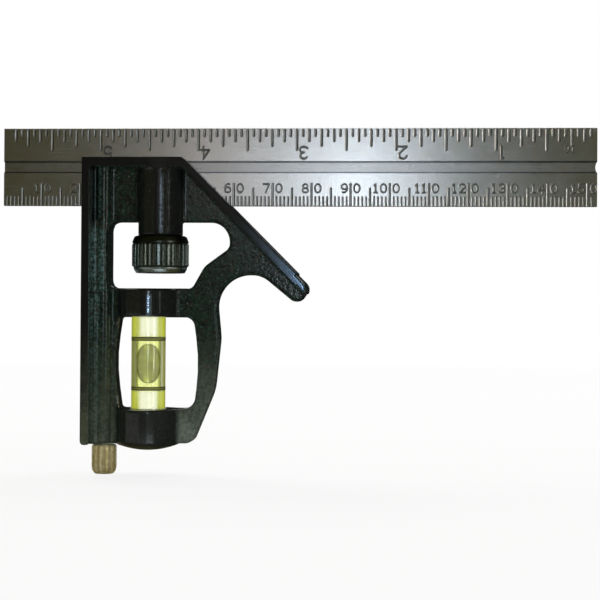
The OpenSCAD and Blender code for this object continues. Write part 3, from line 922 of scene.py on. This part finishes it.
ENAMEL = enamel()
RULE_STEEL = steel_rule()
OXIDE = metal("black_oxide_steel", (0.105, 0.112, 0.105), (0.185, 0.20, 0.19), rough=(0.24, 0.32),
              wear=(0.42, 0.45, 0.44), cav=(0.85, (0.020, 0.022, 0.020)), wear_amount=0.6)
BRASS = metal("knurled_brass", (0.74, 0.53, 0.21), (1.0, 0.90, 0.56), rough=(0.40, 0.58),
              wear=(1.0, 0.90, 0.66), cav=(0.5, (0.30, 0.22, 0.11)), wear_amount=0.6, scale=0.8,
              bump=0.04, metallic=0.30)
SPRING = metal("spring_wire", (0.42, 0.42, 0.43), (0.58, 0.58, 0.60), rough=(0.24, 0.34))
NEEDLE = metal("scriber_steel", (0.45, 0.45, 0.46), (0.60, 0.60, 0.62), rough=(0.2, 0.3),
               stretch=(3, 3, 0.3))
PLUG = plastic("vial_plug", (0.55, 0.62, 0.22), (0.68, 0.74, 0.32))
CEMENT = plastic("vial_cement", (0.40, 0.40, 0.34), (0.52, 0.52, 0.44), rough=(0.6, 0.8),
                 bump=0.03)
NYLON = plastic("bush_nylon", (0.58, 0.57, 0.52), (0.70, 0.69, 0.63))
RING_INK = ring_mat()
TUBE_ACRYLIC = vial_tube_mat()
SPIRIT = liquid_mat()
AIR = bubble_mat()
NUT_OXIDE = nut_mat()

# ---------------------------------------------------------------------------
# Head casting
# ---------------------------------------------------------------------------


def make_head():
    step = 0.36
    verts, faces = contour(head_sdf, (-0.85, -8.65, -64.15), (59.6, 8.65, 12.85), step)
    x, z = verts[:, 0], verts[:, 2]
    ay = np.abs(verts[:, 1])
    faced = (x < 0.06) | ((mitre_distance(x, z) > -0.06) & (x < 54.6)) | (z > TOP - 0.05)
    slot_wall = (ay < 1.13) & (z > -0.7)
    attrs = {"edge": convexity(verts, faces), "mach": (faced | slot_wall).astype(float),
             "rim": (ay > HALF_DEPTH - 0.06).astype(float)}
    return build("head_enamelled_casting", verts, faces, 38, attrs)


finish(make_head(), ENAMEL, "head", "head_casting")

# ---------------------------------------------------------------------------
# Rule: one solid with stamped marks
# ---------------------------------------------------------------------------

RULE_X0, RULE_Y0, RULE_Z0 = RULE_LO
RULE_X1, RULE_Y1, RULE_Z1 = RULE_HI
RULE_MID = (RULE_Z0 + RULE_Z1) / 2
GROOVE_LO, GROOVE_HI, GROOVE_DEPTH = 8.625, 11.375, 0.8
EDGE_BEVEL, GROOVE_BEVEL = 0.10, 0.08
NOTCH_X, NOTCH_R = RULE_X1 + 2.16, 2.56     # circle of the scallop in the right end

# Tick lengths: every so many divisions, length
INCH_TICKS = ((8, 5.95), (4, 4.9), (2, 3.7), (1, 2.35))
MM_TICKS = ((10, 5.95), (5, 4.75), (1, 2.5))
INCH_HALF, INCH_DEPTH = 0.41, 0.10          # half width and depth of the inch ticks
MM_DEPTH = 0.07

# Digits: cell width, height, gap between digits, half width and depth of the stroke
INCH_TEXT = dict(width=2.1, height=3.1, gap=0.5, half=0.33, depth=0.09, turned=True)
INCH_ONE = dict(width=1.6, height=3.2, gap=0.5, half=0.33, depth=0.09, turned=True)
LABEL_TEXT = dict(width=0.95, height=1.65, gap=0.55, half=0.20, depth=0.07, turned=True)
MM_WIDTH, MM_GAP = 1.5, 0.78
MM_TEXT = dict(height=2.15, gap=MM_GAP, half=0.27, depth=MM_DEPTH)


def arc(cx, cz, rx, rz, start, end, steps):
    return [(cx + rx * math.cos(math.radians(start + (end - start) * i / steps)),
             cz + rz * math.sin(math.radians(start + (end - start) * i / steps)))
            for i in range(steps + 1)]


# Plain engraving strokes on a cell 1 wide and 1.5 high, origin at the lower left.
GLYPH = {
    "0": [arc(0.5, 0.75, 0.5, 0.75, 90, 450, 20)],
    "I": [[(0.55, 1.5), (0.55, 0.0)], [(0.22, 1.34), (0.55, 1.5)]],
    "1": [[(0.10, 1.22), (0.52, 1.5), (0.52, 0.0)], [(0.10, 0.0), (0.94, 0.0)]],
    "2": [arc(0.5, 1.03, 0.47, 0.47, 165, -20, 9) + [(0.03, 0.0), (1.0, 0.0)]],
    "3": [arc(0.47, 1.10, 0.43, 0.40, 150, -90, 10) + arc(0.47, 0.37, 0.50, 0.37, 78, -150, 10)],
    "4": [[(0.72, 0.0), (0.72, 1.5), (0.0, 0.42), (1.0, 0.42)]],
    "5": [[(0.92, 1.5), (0.2, 1.5), (0.1, 0.82)] + arc(0.47, 0.47, 0.5, 0.47, 118, -145, 10)],
    "6": [arc(0.62, 0.8, 0.60, 0.70, 75, 180, 7) + arc(0.5, 0.46, 0.48, 0.46, 180, 540, 16)],
    "7": [[(0.0, 1.5), (1.0, 1.5), (0.35, 0.0)]],
    "8": [arc(0.5, 1.13, 0.40, 0.37, 90, 450, 14), arc(0.5, 0.39, 0.48, 0.39, 90, 450, 16)],
    "9": [arc(0.38, 0.7, 0.60, 0.70, -105, 0, 7) + arc(0.5, 1.04, 0.48, 0.46, 0, 360, 16)],
}


def text(digits, x, z, width, height, gap, half, depth, turned=False):
    """Strokes of a number with its lower left corner at x, z.

    A turned one is upside down, with that corner at the upper right.
    """
    out = []
    sign = -1 if turned else 1
    for i, digit in enumerate(digits):
        for line in GLYPH[digit]:
            pts = [(x + sign * i * (width + gap) + sign * u * width, z + sign * v / 1.5 * height)
                   for u, v in line]
            # a stroke is split where it turns sharply
            run = [pts[0]]
            for a, b, c in zip(pts[:-2], pts[1:-1], pts[2:]):
                run.append(b)
                d0, d1 = np.subtract(b, a), np.subtract(c, b)
                if d0 @ d1 < 0.35 * np.linalg.norm(d0) * np.linalg.norm(d1):
                    out.append((run, half, depth))
                    run = [b]
            out.append((run + [pts[-1]], half, depth))
    return out


def tick_length(ticks, k):
    return next(length for every, length in ticks if k % every == 0)


def inch_marks():
    """Sixteenths along the top edge, counted from the right end, numbers upside down."""
    out = []
    step = 25.4 / 16
    digits_z = RULE_Z1 - 4.75
    for k in range(1, int((RULE_X1 - RULE_X0) / step)):
        x = RULE_X1 - k * step
        end = RULE_Z1 - tick_length(INCH_TICKS, k) + INCH_HALF
        out.append(([(x, RULE_Z1 - 0.52), (x, end)], INCH_HALF, INCH_DEPTH))
        if k == 16:
            out += text("I", x + 2.1, digits_z, **INCH_ONE)
        elif k % 16 == 0 and k // 16 < 6:
            out += text(str(k // 16), x + 0.35 + 2.4, digits_z, **INCH_TEXT)
    return out + text("16", RULE_X1 - 5.7, RULE_Z1 - 4.6, **LABEL_TEXT)


def mm_marks():
    """Millimetres along the bottom edge, counted from the left end."""
    out = []
    digits_z = RULE_Z0 + 3.5
    for k in range(1, int(RULE_X1 - RULE_X0) + 1):
        x = RULE_X0 + k
        if x > RULE_X1 - 0.5:
            continue
        half = 0.335 if k % 5 == 0 else 0.285
        end = RULE_Z0 + tick_length(MM_TICKS, k) - half + 0.08
        out.append(([(x, RULE_Z0 - 0.6), (x, end)], half, MM_DEPTH))
        if k % 10 == 0:
            # the last digit stands right of the tick, the others left of it
            number = str(k)
            out += text(number[-1], x + 0.86, digits_z, width=MM_WIDTH, **MM_TEXT)
            left = number[:-1]
            widths = [0.62 * MM_WIDTH if digit == "1" else MM_WIDTH for digit in left]
            at = x - 0.86 - sum(widths) - (len(left) - 1) * MM_GAP
            for digit, width in zip(left, widths):
                out += text(digit, at, digits_z, width=width, **MM_TEXT)
                at += width + MM_GAP
    return out


def strip(line, half):
    """A polyline's points, its mitred offsets on the left and right, and whether it closes."""
    pts = np.array(line, float)
    closed = np.linalg.norm(pts[0] - pts[-1]) < 1e-6
    if closed:
        pts = pts[:-1]
    count = len(pts)
    left, right = [], []
    for i in range(count):
        before = after = None
        if closed or i > 0:
            before = (pts[i] - pts[i - 1]) / np.linalg.norm(pts[i] - pts[i - 1])
        if closed or i < count - 1:
            following = pts[(i + 1) % count]
            after = (following - pts[i]) / np.linalg.norm(following - pts[i])
        before = after if before is None else before
        after = before if after is None else after
        along = before + after
        along = along / max(np.linalg.norm(along), 1e-9)
        normal = np.array([-along[1], along[0]])
        reach = half / max(0.45, float(normal @ np.array([-before[1], before[0]])))
        left.append(pts[i] + normal * reach)
        right.append(pts[i] - normal * reach)
    return pts, left, right, closed


def cap(centre, start):
    """Points of the half circle from start round the end of a stroke, without its ends."""
    arm = np.array(start) - centre
    angle = math.atan2(arm[1], arm[0])
    r = np.linalg.norm(arm)
    return [(centre[0] + r * math.cos(angle - math.pi * i / 5),
             centre[1] + r * math.sin(angle - math.pi * i / 5)) for i in range(1, 5)]


def line_distance(points, line):
    """Distance to a polyline, and how far along +X the nearest point on it lies."""
    line = np.array(line, float)
    best = np.full(len(points), 1e9)
    side = np.zeros(len(points))
    for a, b in zip(line[:-1], line[1:]):
        seg = b - a
        t = np.clip(((points - a) @ seg) / max(float(seg @ seg), 1e-12), 0, 1)
        to_line = a + t[:, None] * seg - points
        dist = np.linalg.norm(to_line, axis=1)
        side = np.where(dist < best, to_line[:, 0], side)
        best = np.minimum(best, dist)
    return best, side


def rule_plan(strokes):
    """Points and triangles of the rule's face in X-Z, with every outline and stroke as edges."""
    pts, edges = [], []

    def add_line(line, close=False):
        first = len(pts)
        pts.extend(line)
        last = len(pts) - 1
        edges.extend((i, i + 1) for i in range(first, last))
        if close:
            edges.append((last, first))

    start = math.degrees(math.acos((RULE_X1 - NOTCH_X) / NOTCH_R))
    notch = arc(NOTCH_X, RULE_MID, NOTCH_R, NOTCH_R, start, 360 - start, 12)
    add_line([(RULE_X0, RULE_Z0), (RULE_X1, RULE_Z0)] + notch[::-1]
             + [(RULE_X1, RULE_Z1), (RULE_X0, RULE_Z1)], close=True)
    # inner line of the small bevel on the bottom, top and left edges
    left, low, high = RULE_X0 + EDGE_BEVEL, RULE_Z0 + EDGE_BEVEL, RULE_Z1 - EDGE_BEVEL
    add_line([(left, low), (RULE_X1 - EDGE_BEVEL, low)])
    add_line([(left, high), (RULE_X1 - EDGE_BEVEL, high)])
    add_line([(left, low), (left, high)])
    # groove edges, then lines on the lands beside them and on the groove's floor
    levels = [GROOVE_LO, GROOVE_HI]
    for off in (GROOVE_BEVEL, 0.26):
        levels += [GROOVE_LO - off, GROOVE_HI + off]
    for off in (0.10, 0.30):
        levels += [GROOVE_LO + off, GROOVE_HI - off]
    for z in levels:
        add_line([(RULE_X0 - 1, z), (RULE_X1 + 1, z)])
    # each stroke is three nested loops, so that its hollow comes out round
    for line, half, _ in strokes:
        for width in (half, half * 0.66, half * 0.33):
            mid, left_side, right_side, closed = strip(line, width)
            left_pts = [tuple(p) for p in left_side]
            if closed:
                add_line(left_pts, close=True)
                add_line([tuple(p) for p in right_side], close=True)
            else:
                add_line(left_pts + cap(mid[-1], left_side[-1])
                         + [tuple(p) for p in right_side[::-1]] + cap(mid[0], right_side[0]),
                         close=True)
    found = delaunay_2d_cdt([Vector(p) for p in pts], edges, [], 0, 1e-6, True)
    flat = np.array([(p[0], p[1]) for p in found[0]])
    tris = np.array([list(t) for t in found[2] if len(t) == 3])
    centre = flat[tris].mean(1)
    keep = (centre[:, 0] > RULE_X0) & (centre[:, 0] < RULE_X1)
    keep &= (centre[:, 1] > RULE_Z0) & (centre[:, 1] < RULE_Z1)
    keep &= np.hypot(centre[:, 0] - NOTCH_X, centre[:, 1] - RULE_MID) > NOTCH_R
    return flat, tris[keep], centre[keep]


def stamp(flat, strokes):
    """Depth of the marks at every point, and how strongly it is darkened as a stamped mark, with
    painted light on each stroke's left flank.
    """
    depth, cut_and_lit_flank = np.zeros(len(flat)), np.zeros(len(flat))
    order = np.argsort(flat[:, 0])
    sorted_x = flat[order, 0]
    for line, half, full in strokes:
        line_x = np.array(line)[:, 0]
        near = order[np.searchsorted(sorted_x, line_x.min() - half - 0.1):
                     np.searchsorted(sorted_x, line_x.max() + half + 0.1)]
        if not len(near):
            continue
        dist, side = line_distance(flat[near], line)
        share = np.clip(1 - dist / half, 0, 1)
        share[share < 0.025] = 0
        depth[near] = np.maximum(depth[near], (1 - (1 - share) ** 2) * full)
        # painted light: the left flank of a stroke stays lighter, as if lit from the right
        shade = 1 - 0.8 * np.clip(side / (0.25 * half) + 0.15, 0, 1)
        cut_and_lit_flank[near] = np.maximum(cut_and_lit_flank[near], np.clip((share - 0.12) * 4.5, 0, 1) * shade)
    return depth, cut_and_lit_flank


def make_rule():
    strokes = inch_marks() + mm_marks()
    flat, tris, centre = rule_plan(strokes)
    depth, cut_and_lit_flank = stamp(flat, strokes)
    x, z = flat[:, 0], flat[:, 1]
    to_edge = np.minimum(np.minimum(z - RULE_Z0, RULE_Z1 - z), x - RULE_X0)
    bevel = np.clip(EDGE_BEVEL - to_edge, 0, EDGE_BEVEL)
    depth = np.maximum(depth, bevel)
    to_groove = np.minimum(np.abs(z - GROOVE_LO), np.abs(z - GROOVE_HI))
    depth = np.maximum(depth, np.clip(GROOVE_BEVEL - to_groove, 0, GROOVE_BEVEL))
    in_groove = (centre[:, 1] > GROOVE_LO) & (centre[:, 1] < GROOVE_HI)
    # painted shade along both edges of the groove, where its walls fall into shadow
    outside = np.where(z > RULE_MID, z - GROOVE_HI, GROOVE_LO - z)
    groove_shade = np.where(outside >= -1e-6, np.clip(1.15 - outside / 0.22, 0, 1),
                     np.clip(1.15 + outside / 0.26, 0, 1))
    # per layer: y, mark darkness with its painted lit flank, and painted groove shade of point i
    layers = {"land": lambda i: (RULE_Y0 + depth[i], cut_and_lit_flank[i], groove_shade[i]),
              "groove": lambda i: (RULE_Y0 + GROOVE_DEPTH, 0.22, groove_shade[i]),
              "back": lambda i: (RULE_Y1 - bevel[i], 0.0, 0.0)}
    verts, faces, cut_and_lit_flanks, groove_shades, used = [], [], [], [], {}

    def vert(i, layer):
        if (i, layer) not in used:
            used[i, layer] = len(verts)
            y, point_cut_and_lit_flank, point_groove_shade = layers[layer](i)
            verts.append((x[i], y, z[i]))
            cut_and_lit_flanks.append(point_cut_and_lit_flank)
            groove_shades.append(point_groove_shade)
        return used[i, layer]

    def area(a, b, c):
        return (x[b] - x[a]) * (z[c] - z[a]) - (x[c] - x[a]) * (z[b] - z[a])

    uses = {}
    for tri, groove in zip(tris, in_groove):
        tri = list(tri) if area(*tri) > 0 else list(tri[::-1])
        front = "groove" if groove else "land"
        faces.append([vert(i, front) for i in tri])
        faces.append([vert(i, "back") for i in tri[::-1]])
        for a, b in zip(tri, tri[1:] + tri[:1]):
            uses.setdefault((min(a, b), max(a, b)), []).append((a, b, front))
    # walls round the outline and down into the groove
    for found in uses.values():
        if len(found) == 1:
            a, b, top = found[0]
            bottom = "back"
        elif found[0][2] != found[1][2]:
            a, b, top = found[0] if found[0][2] == "land" else found[1]
            bottom = "groove"
        else:
            continue
        faces.append([vert(b, top), vert(a, top), vert(a, bottom), vert(b, bottom)])
    return build("rule_graduated_blade", verts, faces, 15, {"cut_and_lit_flank": cut_and_lit_flanks, "groove_shade": groove_shades})


def crisp_land(mesh):
    """Makes the flat land end in a crisp line at every stroke."""
    coords = np.empty(len(mesh.vertices) * 3)
    mesh.vertices.foreach_get("co", coords)
    on_land = np.abs(coords.reshape(-1, 3)[:, 1] - RULE_Y0 * MM) < 2e-8
    loop_edge, loop_vert = np.empty(len(mesh.loops), int), np.empty(len(mesh.loops), int)
    sizes = np.empty(len(mesh.polygons), int)
    mesh.loops.foreach_get("edge_index", loop_edge)
    mesh.loops.foreach_get("vertex_index", loop_vert)
    mesh.polygons.foreach_get("loop_total", sizes)
    face_of = np.repeat(np.arange(len(sizes)), sizes)
    flat = np.bincount(face_of, on_land[loop_vert], len(sizes)) == sizes
    flat_loop = np.repeat(flat, sizes)
    count = len(mesh.edges)
    border = ((np.bincount(loop_edge, flat_loop, count) > 0)
              & (np.bincount(loop_edge, ~flat_loop, count) > 0))
    sharp = np.zeros(count, bool)
    mesh.edges.foreach_get("use_edge_sharp", sharp)
    mesh.edges.foreach_set("use_edge_sharp", sharp | border)
    mesh.update()
    normals = np.empty(len(mesh.loops) * 3, np.float32)
    mesh.corner_normals.foreach_get("vector", normals)
    normals = normals.reshape(-1, 3)
    normals[flat_loop] = (0.0, -1.0, 0.0)
    mesh.normals_split_custom_set(normals.tolist())


rule = make_rule()
crisp_land(rule.data)
finish(rule, RULE_STEEL, "rule", "rule_blade")

# ---------------------------------------------------------------------------
# Lock nut
# ---------------------------------------------------------------------------


def around(angles, count, shift):
    """Angle from the middle of the nearest of count flutes, and their pitch."""
    pitch = 2 * math.pi / count
    return (angles + shift) % pitch - pitch / 2, pitch


def nut_radius(r, z, weight, angles):
    off, pitch = around(angles, 36, math.pi / 36)
    flute = np.sqrt(np.clip(1 - (off / (0.27 * pitch)) ** 2, 0, 1))
    return r - 0.36 * weight * flute


def make_nut():
    r = (NUT_HI[0] - NUT_LO[0]) / 2
    top, bottom = NUT_HI[2], NUT_LO[2]
    bore = 2.06
    # r, z, corner radius, flute weight
    profile = fillet([
        (bore, top), (r - 1.0, top, 0.2), (r - 0.55, top - 0.30, 0.5),
        (r - 0.10, top - 1.45, 0.3), (r - 0.08, top - 1.80, 0.06), (r - 0.30, top - 1.92, 0.04),
        (r - 0.30, top - 2.02, 0.04), (r, top - 2.2, 0.12, 1), (r, bottom + 1.85, 0.12, 1),
        (r - 0.30, bottom + 1.62, 0.08), (r - 0.45, bottom + 1.5, 0.1),
        (r - 0.50, bottom + 0.95, 0.8), (r - 1.05, bottom, 0.35), (bore, bottom)], steps=5)
    return lathe("lock_nut_knurled", profile, 400, LOCK, 42, radius=nut_radius, closed=True)


finish(make_nut(), NUT_OXIDE, "nut", "lock_nut")

# ---------------------------------------------------------------------------
# Vial
# ---------------------------------------------------------------------------

TUBE_R = (TUBE_HI[0] - TUBE_LO[0]) / 2
TUBE_BORE, LIQUID_R = 3.5, 3.45


def make_tube():
    """Tube open at the bottom and closed at the top."""
    bottom, top = TUBE_LO[2], TUBE_HI[2]
    outer = fillet([(TUBE_BORE, bottom), (TUBE_R, bottom, 0.3), (TUBE_R, top, 0.5), (0, top)],
                   steps=4)
    inner = fillet([(0, top - 1.5), (TUBE_BORE, top - 1.5, 0.4), (TUBE_BORE, bottom + 0.01)],
                   steps=4)
    return lathe("vial_clear_tube", outer + inner, 128, VIAL_AXIS, 50, closed=True)


def make_liquid():
    bottom, top = LIQUID_LO[2], LIQUID_HI[2]
    profile = fillet([(0, bottom), (LIQUID_R, bottom, 0.2), (LIQUID_R, top, 0.35), (0, top)],
                     steps=4)
    return lathe("vial_spirit_fill", profile, 128, VIAL_AXIS, 50)


def make_bubble():
    r = (BUBBLE_HI[0] - BUBBLE_LO[0]) / 2
    middle = (BUBBLE_LO[2] + BUBBLE_HI[2]) / 2
    half = (BUBBLE_HI[2] - BUBBLE_LO[2]) / 2
    sides = [(r * abs(math.cos(a)) ** 0.80, middle + half * math.sin(a), 0.0)
             for a in np.linspace(-math.pi / 2, math.pi / 2, 49)[1:-1]]
    profile = [(0.0, middle - half, 0.0)] + sides + [(0.0, middle + half, 0.0)]
    return lathe("vial_air_bubble", profile, 96, VIAL_AXIS, 70)


def make_ring(name, z):
    half = 0.47
    inner, outer = TUBE_R - 0.02, TUBE_R + 0.025
    profile = fillet([(inner, z - half), (outer, z - half, 0.015), (outer, z + half, 0.015),
                      (inner, z + half)], steps=2)
    return lathe(name, profile, 128, VIAL_AXIS, 50, closed=True)


finish(make_tube(), TUBE_ACRYLIC, "head", "vial_tube")
finish(make_liquid(), SPIRIT, "head", "vial_liquid")
finish(make_bubble(), AIR, "bubble", "vial_bubble")

rings = make_ring("vial_level_rings_black", RING_Z[0])
low_ring = make_ring("ring_tmp", RING_Z[1])
bpy.context.view_layer.update()
with bpy.context.temp_override(active_object=rings, object=rings,
                               selected_objects=[rings, low_ring],
                               selected_editable_objects=[rings, low_ring]):
    bpy.ops.object.join()
finish(rings, RING_INK, "head", "vial_level_rings")

# ---------------------------------------------------------------------------
# Scriber knob
# ---------------------------------------------------------------------------


def knob_radius(r, z, weight, angles):
    """Twelve flutes with small bumps between them."""
    off, pitch = around(angles, 12, 0.10)
    flute = np.sqrt(np.clip(1 - off ** 2 / (0.30 * pitch) ** 2, 0, 1))
    tooth = 0.10 * weight * np.sin(angles * 12 + z * 2.1) * np.cos(z * 2.6)
    return r - (0.30 * weight * flute + np.maximum(tooth, 0) * 0.6)


def make_knob():
    r = (KNOB_HI[0] - KNOB_LO[0]) / 2
    top, bottom = KNOB_HI[2], KNOB_LO[2]
    shoulder = -LEG - 0.35
    bore, neck = 0.82, 1.3
    # r, z, corner radius, flute weight
    profile = fillet([
        (0, shoulder - 4.2), (bore, shoulder - 4.2), (bore, top), (1.1, top, 0.1),
        (neck, top - 0.3, 0.1), (neck, shoulder, 0.05), (r - 0.35, shoulder, 0.1),
        (r, shoulder - 0.45, 0.25, 1), (r, bottom + 1.7, 0.6, 1), (r - 0.2, bottom + 0.85, 0.6, 1),
        (r - 0.65, bottom + 0.2, 0.5, 0.5), (r - 1.0, bottom, 0.3), (0, bottom)], steps=4)
    # more rings on the grip, so that the bumps show
    dense = []
    for a, b in zip(profile[:-1], profile[1:]):
        grip = a[0] > 1.4 and b[0] > 1.4
        count = max(1, int(math.hypot(a[0] - b[0], a[1] - b[1]) / 0.25)) if grip else 1
        for k in range(count):
            t = k / count
            dense.append(tuple(a[i] * (1 - t) + b[i] * t for i in range(3)))
    dense.append(profile[-1])
    return lathe("scriber_knob_brass", dense, 144, (SCRIBER_X, 0.0), 45, radius=knob_radius)


finish(make_knob(), BRASS, "scriber", "scriber_knob")

# ---------------------------------------------------------------------------
# CAD nodes that keep their shape: node, material, slot
# ---------------------------------------------------------------------------

for node_name, material, slot in (
        ("lock_bolt", OXIDE, "black_oxide"), ("lock_spring", SPRING, "spring_steel"),
        ("vial_end_plug", PLUG, "vial_plug_plastic"), ("vial_cement", CEMENT, "cement"),
        ("vial_bore_plug", ENAMEL, "head_enamel"), ("scriber_needle", NEEDLE, "tool_steel"),
        ("scriber_bush", NYLON, "bush_nylon")):
    part = frame["nodes"][node_name]
    paint(part, material)
    part.data.polygons.foreach_set("use_smooth", np.ones(len(part.data.polygons), bool))
    part.data.set_sharp_from_angle(angle=math.radians(35))

# ---------------------------------------------------------------------------
# Floor and world, in metres
# ---------------------------------------------------------------------------

scene = bpy.context.scene
WHITE = (1.0, 1.0, 1.0)
# what reflections meet at the front and at the back of the studio
FRONT_DIM, BACK_DIM = (0.056, 0.0545, 0.018), (0.012, 0.012, 0.012)
FLOOR_X = 0.05
FLOOR_SEGS = 96
FLOOR_RADII = (0.05, 0.1, 0.2, 0.35, 0.6, 1.0, 2.0, 4.0, 9.0)


def floor_mat():
    """Pale floor: a glow for the camera, plain diffuse for other rays, dim in reflections."""
    mat = Mat("pale_floor")
    position = mat.value("NewGeometry", out="Position")
    length = mat.value("VectorMath", {0: position}, out="Value", operation="LENGTH")
    far = mat.remap(length, 0.12, 0.9, to=(0.87, 1.0))
    glow = mat.value("Emission", {"Color": WHITE})
    camera_ray, through_ray, glossy_ray = mat.rays("Camera", "Transmission", "Glossy")
    mat.set(color=(0.86, 0.86, 0.855), rough=0.7, spec=0.1)
    diffuse = Value(mat, mat.bsdf.outputs[0])
    seen = mat.mix_shader(mat.max(camera_ray, through_ray) * far, diffuse, glow)
    # reflections are brighter far out to the sides at the back, and in a band at the front
    x, y, _ = mat.split(position)
    side_x = abs(x - FLOOR_X)
    side = side_x / mat.max(y, 0.01)
    lit = mat.remap(y, 0.05, 0.15) * mat.remap(side, 0.45, 0.7)
    back = mat.remap(y, 0.01, 0.06)
    near = mat.remap(y, 0.0, -0.05) * mat.remap(y, -0.17, -0.26, to=(1.0, 0.0))
    near = near * mat.remap(side_x, 0.05, 0.10)
    lit = mat.max(lit, near * 0.8)
    color = mat.mix(lit, mat.mix(back, FRONT_DIM, BACK_DIM), (0.34, 0.34, 0.335))
    dim = mat.value("Emission", {"Color": color})
    mat.surface(mat.mix_shader(glossy_ray * (1.0 - through_ray), seen, dim))
    return mat.material


def make_floor():
    z = (KNOB_LO[2] - 0.02) * MM
    segs = FLOOR_SEGS
    verts = [(FLOOR_X, 0, z)]
    for r in FLOOR_RADII:
        for s in range(segs):
            angle = 2 * math.pi * s / segs
            verts.append((FLOOR_X + r * math.cos(angle), r * math.sin(angle), z))
    faces = [(0, 1 + s, 1 + (s + 1) % segs) for s in range(segs)]
    for k in range(len(FLOOR_RADII) - 1):
        a, b = 1 + k * segs, 1 + (k + 1) * segs
        for s in range(segs):
            t = (s + 1) % segs
            faces.append((a + s, b + s, b + t, a + t))
    mesh = bpy.data.meshes.new("studio_floor")
    mesh.from_pydata(verts, [], faces)
    floor = bpy.data.objects.new("studio_floor", mesh)
    scene.collection.objects.link(floor)
    # the floor keeps below the scriber when it is drawn out
    drop = floor.constraints.new("COPY_LOCATION")
    drop.target = frame["bodies"]["scriber"]
    drop.use_x = drop.use_y = False
    drop.use_offset = True
    mesh.materials.append(floor_mat())
    return floor


def make_world():
    """White for the camera and through clear parts, dim for every other ray."""
    world = bpy.data.worlds.new("studio")
    scene.world = world
    world.use_nodes = True
    graph = Graph(world.node_tree)
    camera_ray, through_ray = graph.rays("Camera", "Transmission")
    y = graph.split(graph.value("TexCoord", out="Generated"))[1]
    color = graph.mix(graph.remap(y, 0.05, 0.6), FRONT_DIM, BACK_DIM)
    dim = graph.value("Background", {"Color": color})
    white = graph.value("Background", {"Color": WHITE})
    surface = graph.mix_shader(graph.max(camera_ray, through_ray), dim, white)
    graph.node("OutputWorld", {"Surface": surface})


make_floor()
make_world()

# ---------------------------------------------------------------------------
# Lights
# ---------------------------------------------------------------------------

# name, position, aim, size, power in watts, colour
LIGHTS = (
    ("key_soft", (56, -405, 32), (56, 0, 0), (24, 80), 0.060, (0.77, 0.88, 1.0)),
    ("key_low", (58, -405, -26), (50, 0, 0), (12, 17), 0.026, (0.74, 0.88, 1.0)),
    ("fill_left", (-12, -405, 47), (20, 0, 0), (40, 60), 0.011, (1.0, 0.93, 0.96)),
    ("bounce_card", (28, -38, -69), (30, -8, 0), (120, 46), 0.024, (0.92, 1.0, 0.84)),
    ("strip_right", (400, -330, 10), (20, 0, -15), (30, 500), 0.46, (1.0, 0.98, 0.92)),
    ("top_soft", (60, 250, 700), (50, 0, -20), (600, 300), 1.6, WHITE),
    ("low_card", (23, -40, -68.4), (20, -10, -22), (44, 20), 0.0036, (0.80, 0.93, 1.0)),
    ("back_soft", (-330, 420, 560), (50, 0, -20), (460, 460), 3.0, (1.0, 0.99, 0.97)),
    ("back_soft_right", (430, 440, 560), (50, 0, -20), (460, 460), 3.0, (0.97, 0.98, 1.0)),
)
for name, position, aim, size, power, color in LIGHTS:
    light = bpy.data.lights.new(name, "AREA")
    light.shape = "RECTANGLE"
    light.size, light.size_y = size[0] * MM, size[1] * MM
    light.energy = power
    light.color = color
    lamp = bpy.data.objects.new(name, light)
    lamp.location = Vector(position) * MM
    lamp.rotation_mode = "QUATERNION"
    lamp.rotation_quaternion = (Vector(aim) - Vector(position)).to_track_quat("-Z", "Y")
    scene.collection.objects.link(lamp)
    # the cards stand close to the head, out of the camera's sight
    if name in ("bounce_card", "low_card"):
        lamp.visible_camera = False
    if name == "bounce_card":
        lamp.visible_glossy = False

# ---------------------------------------------------------------------------
# Camera
# ---------------------------------------------------------------------------

CAMERA_AT = (82.95, -400.0, -26.7)
YAW, PITCH, ROLL = math.radians(3.95), math.radians(0.38), math.radians(0.37)

camera_data = bpy.data.cameras.new("camera")
camera_data.sensor_width = 36.0
camera_data.lens = 93.72
camera_data.clip_start, camera_data.clip_end = 0.02, 20.0
camera = bpy.data.objects.new("camera", camera_data)
scene.collection.objects.link(camera)
forward = Vector((-math.sin(YAW) * math.cos(PITCH), math.cos(YAW) * math.cos(PITCH),
                  math.sin(PITCH)))
level = Vector((math.cos(YAW), math.sin(YAW), 0.0))
upright = level.cross(forward)
camera_x = level * math.cos(ROLL) + upright * math.sin(ROLL)
camera_y = -level * math.sin(ROLL) + upright * math.cos(ROLL)
turn = Matrix((camera_x, camera_y, -forward)).transposed().to_4x4()
camera.matrix_world = Matrix.Translation(Vector(CAMERA_AT) * MM) @ turn
scene.camera = camera
scene.view_settings.view_transform = "Standard"
scene.view_settings.look = "None"
scene.view_settings.exposure = 0.0
scene.view_settings.gamma = 1.0
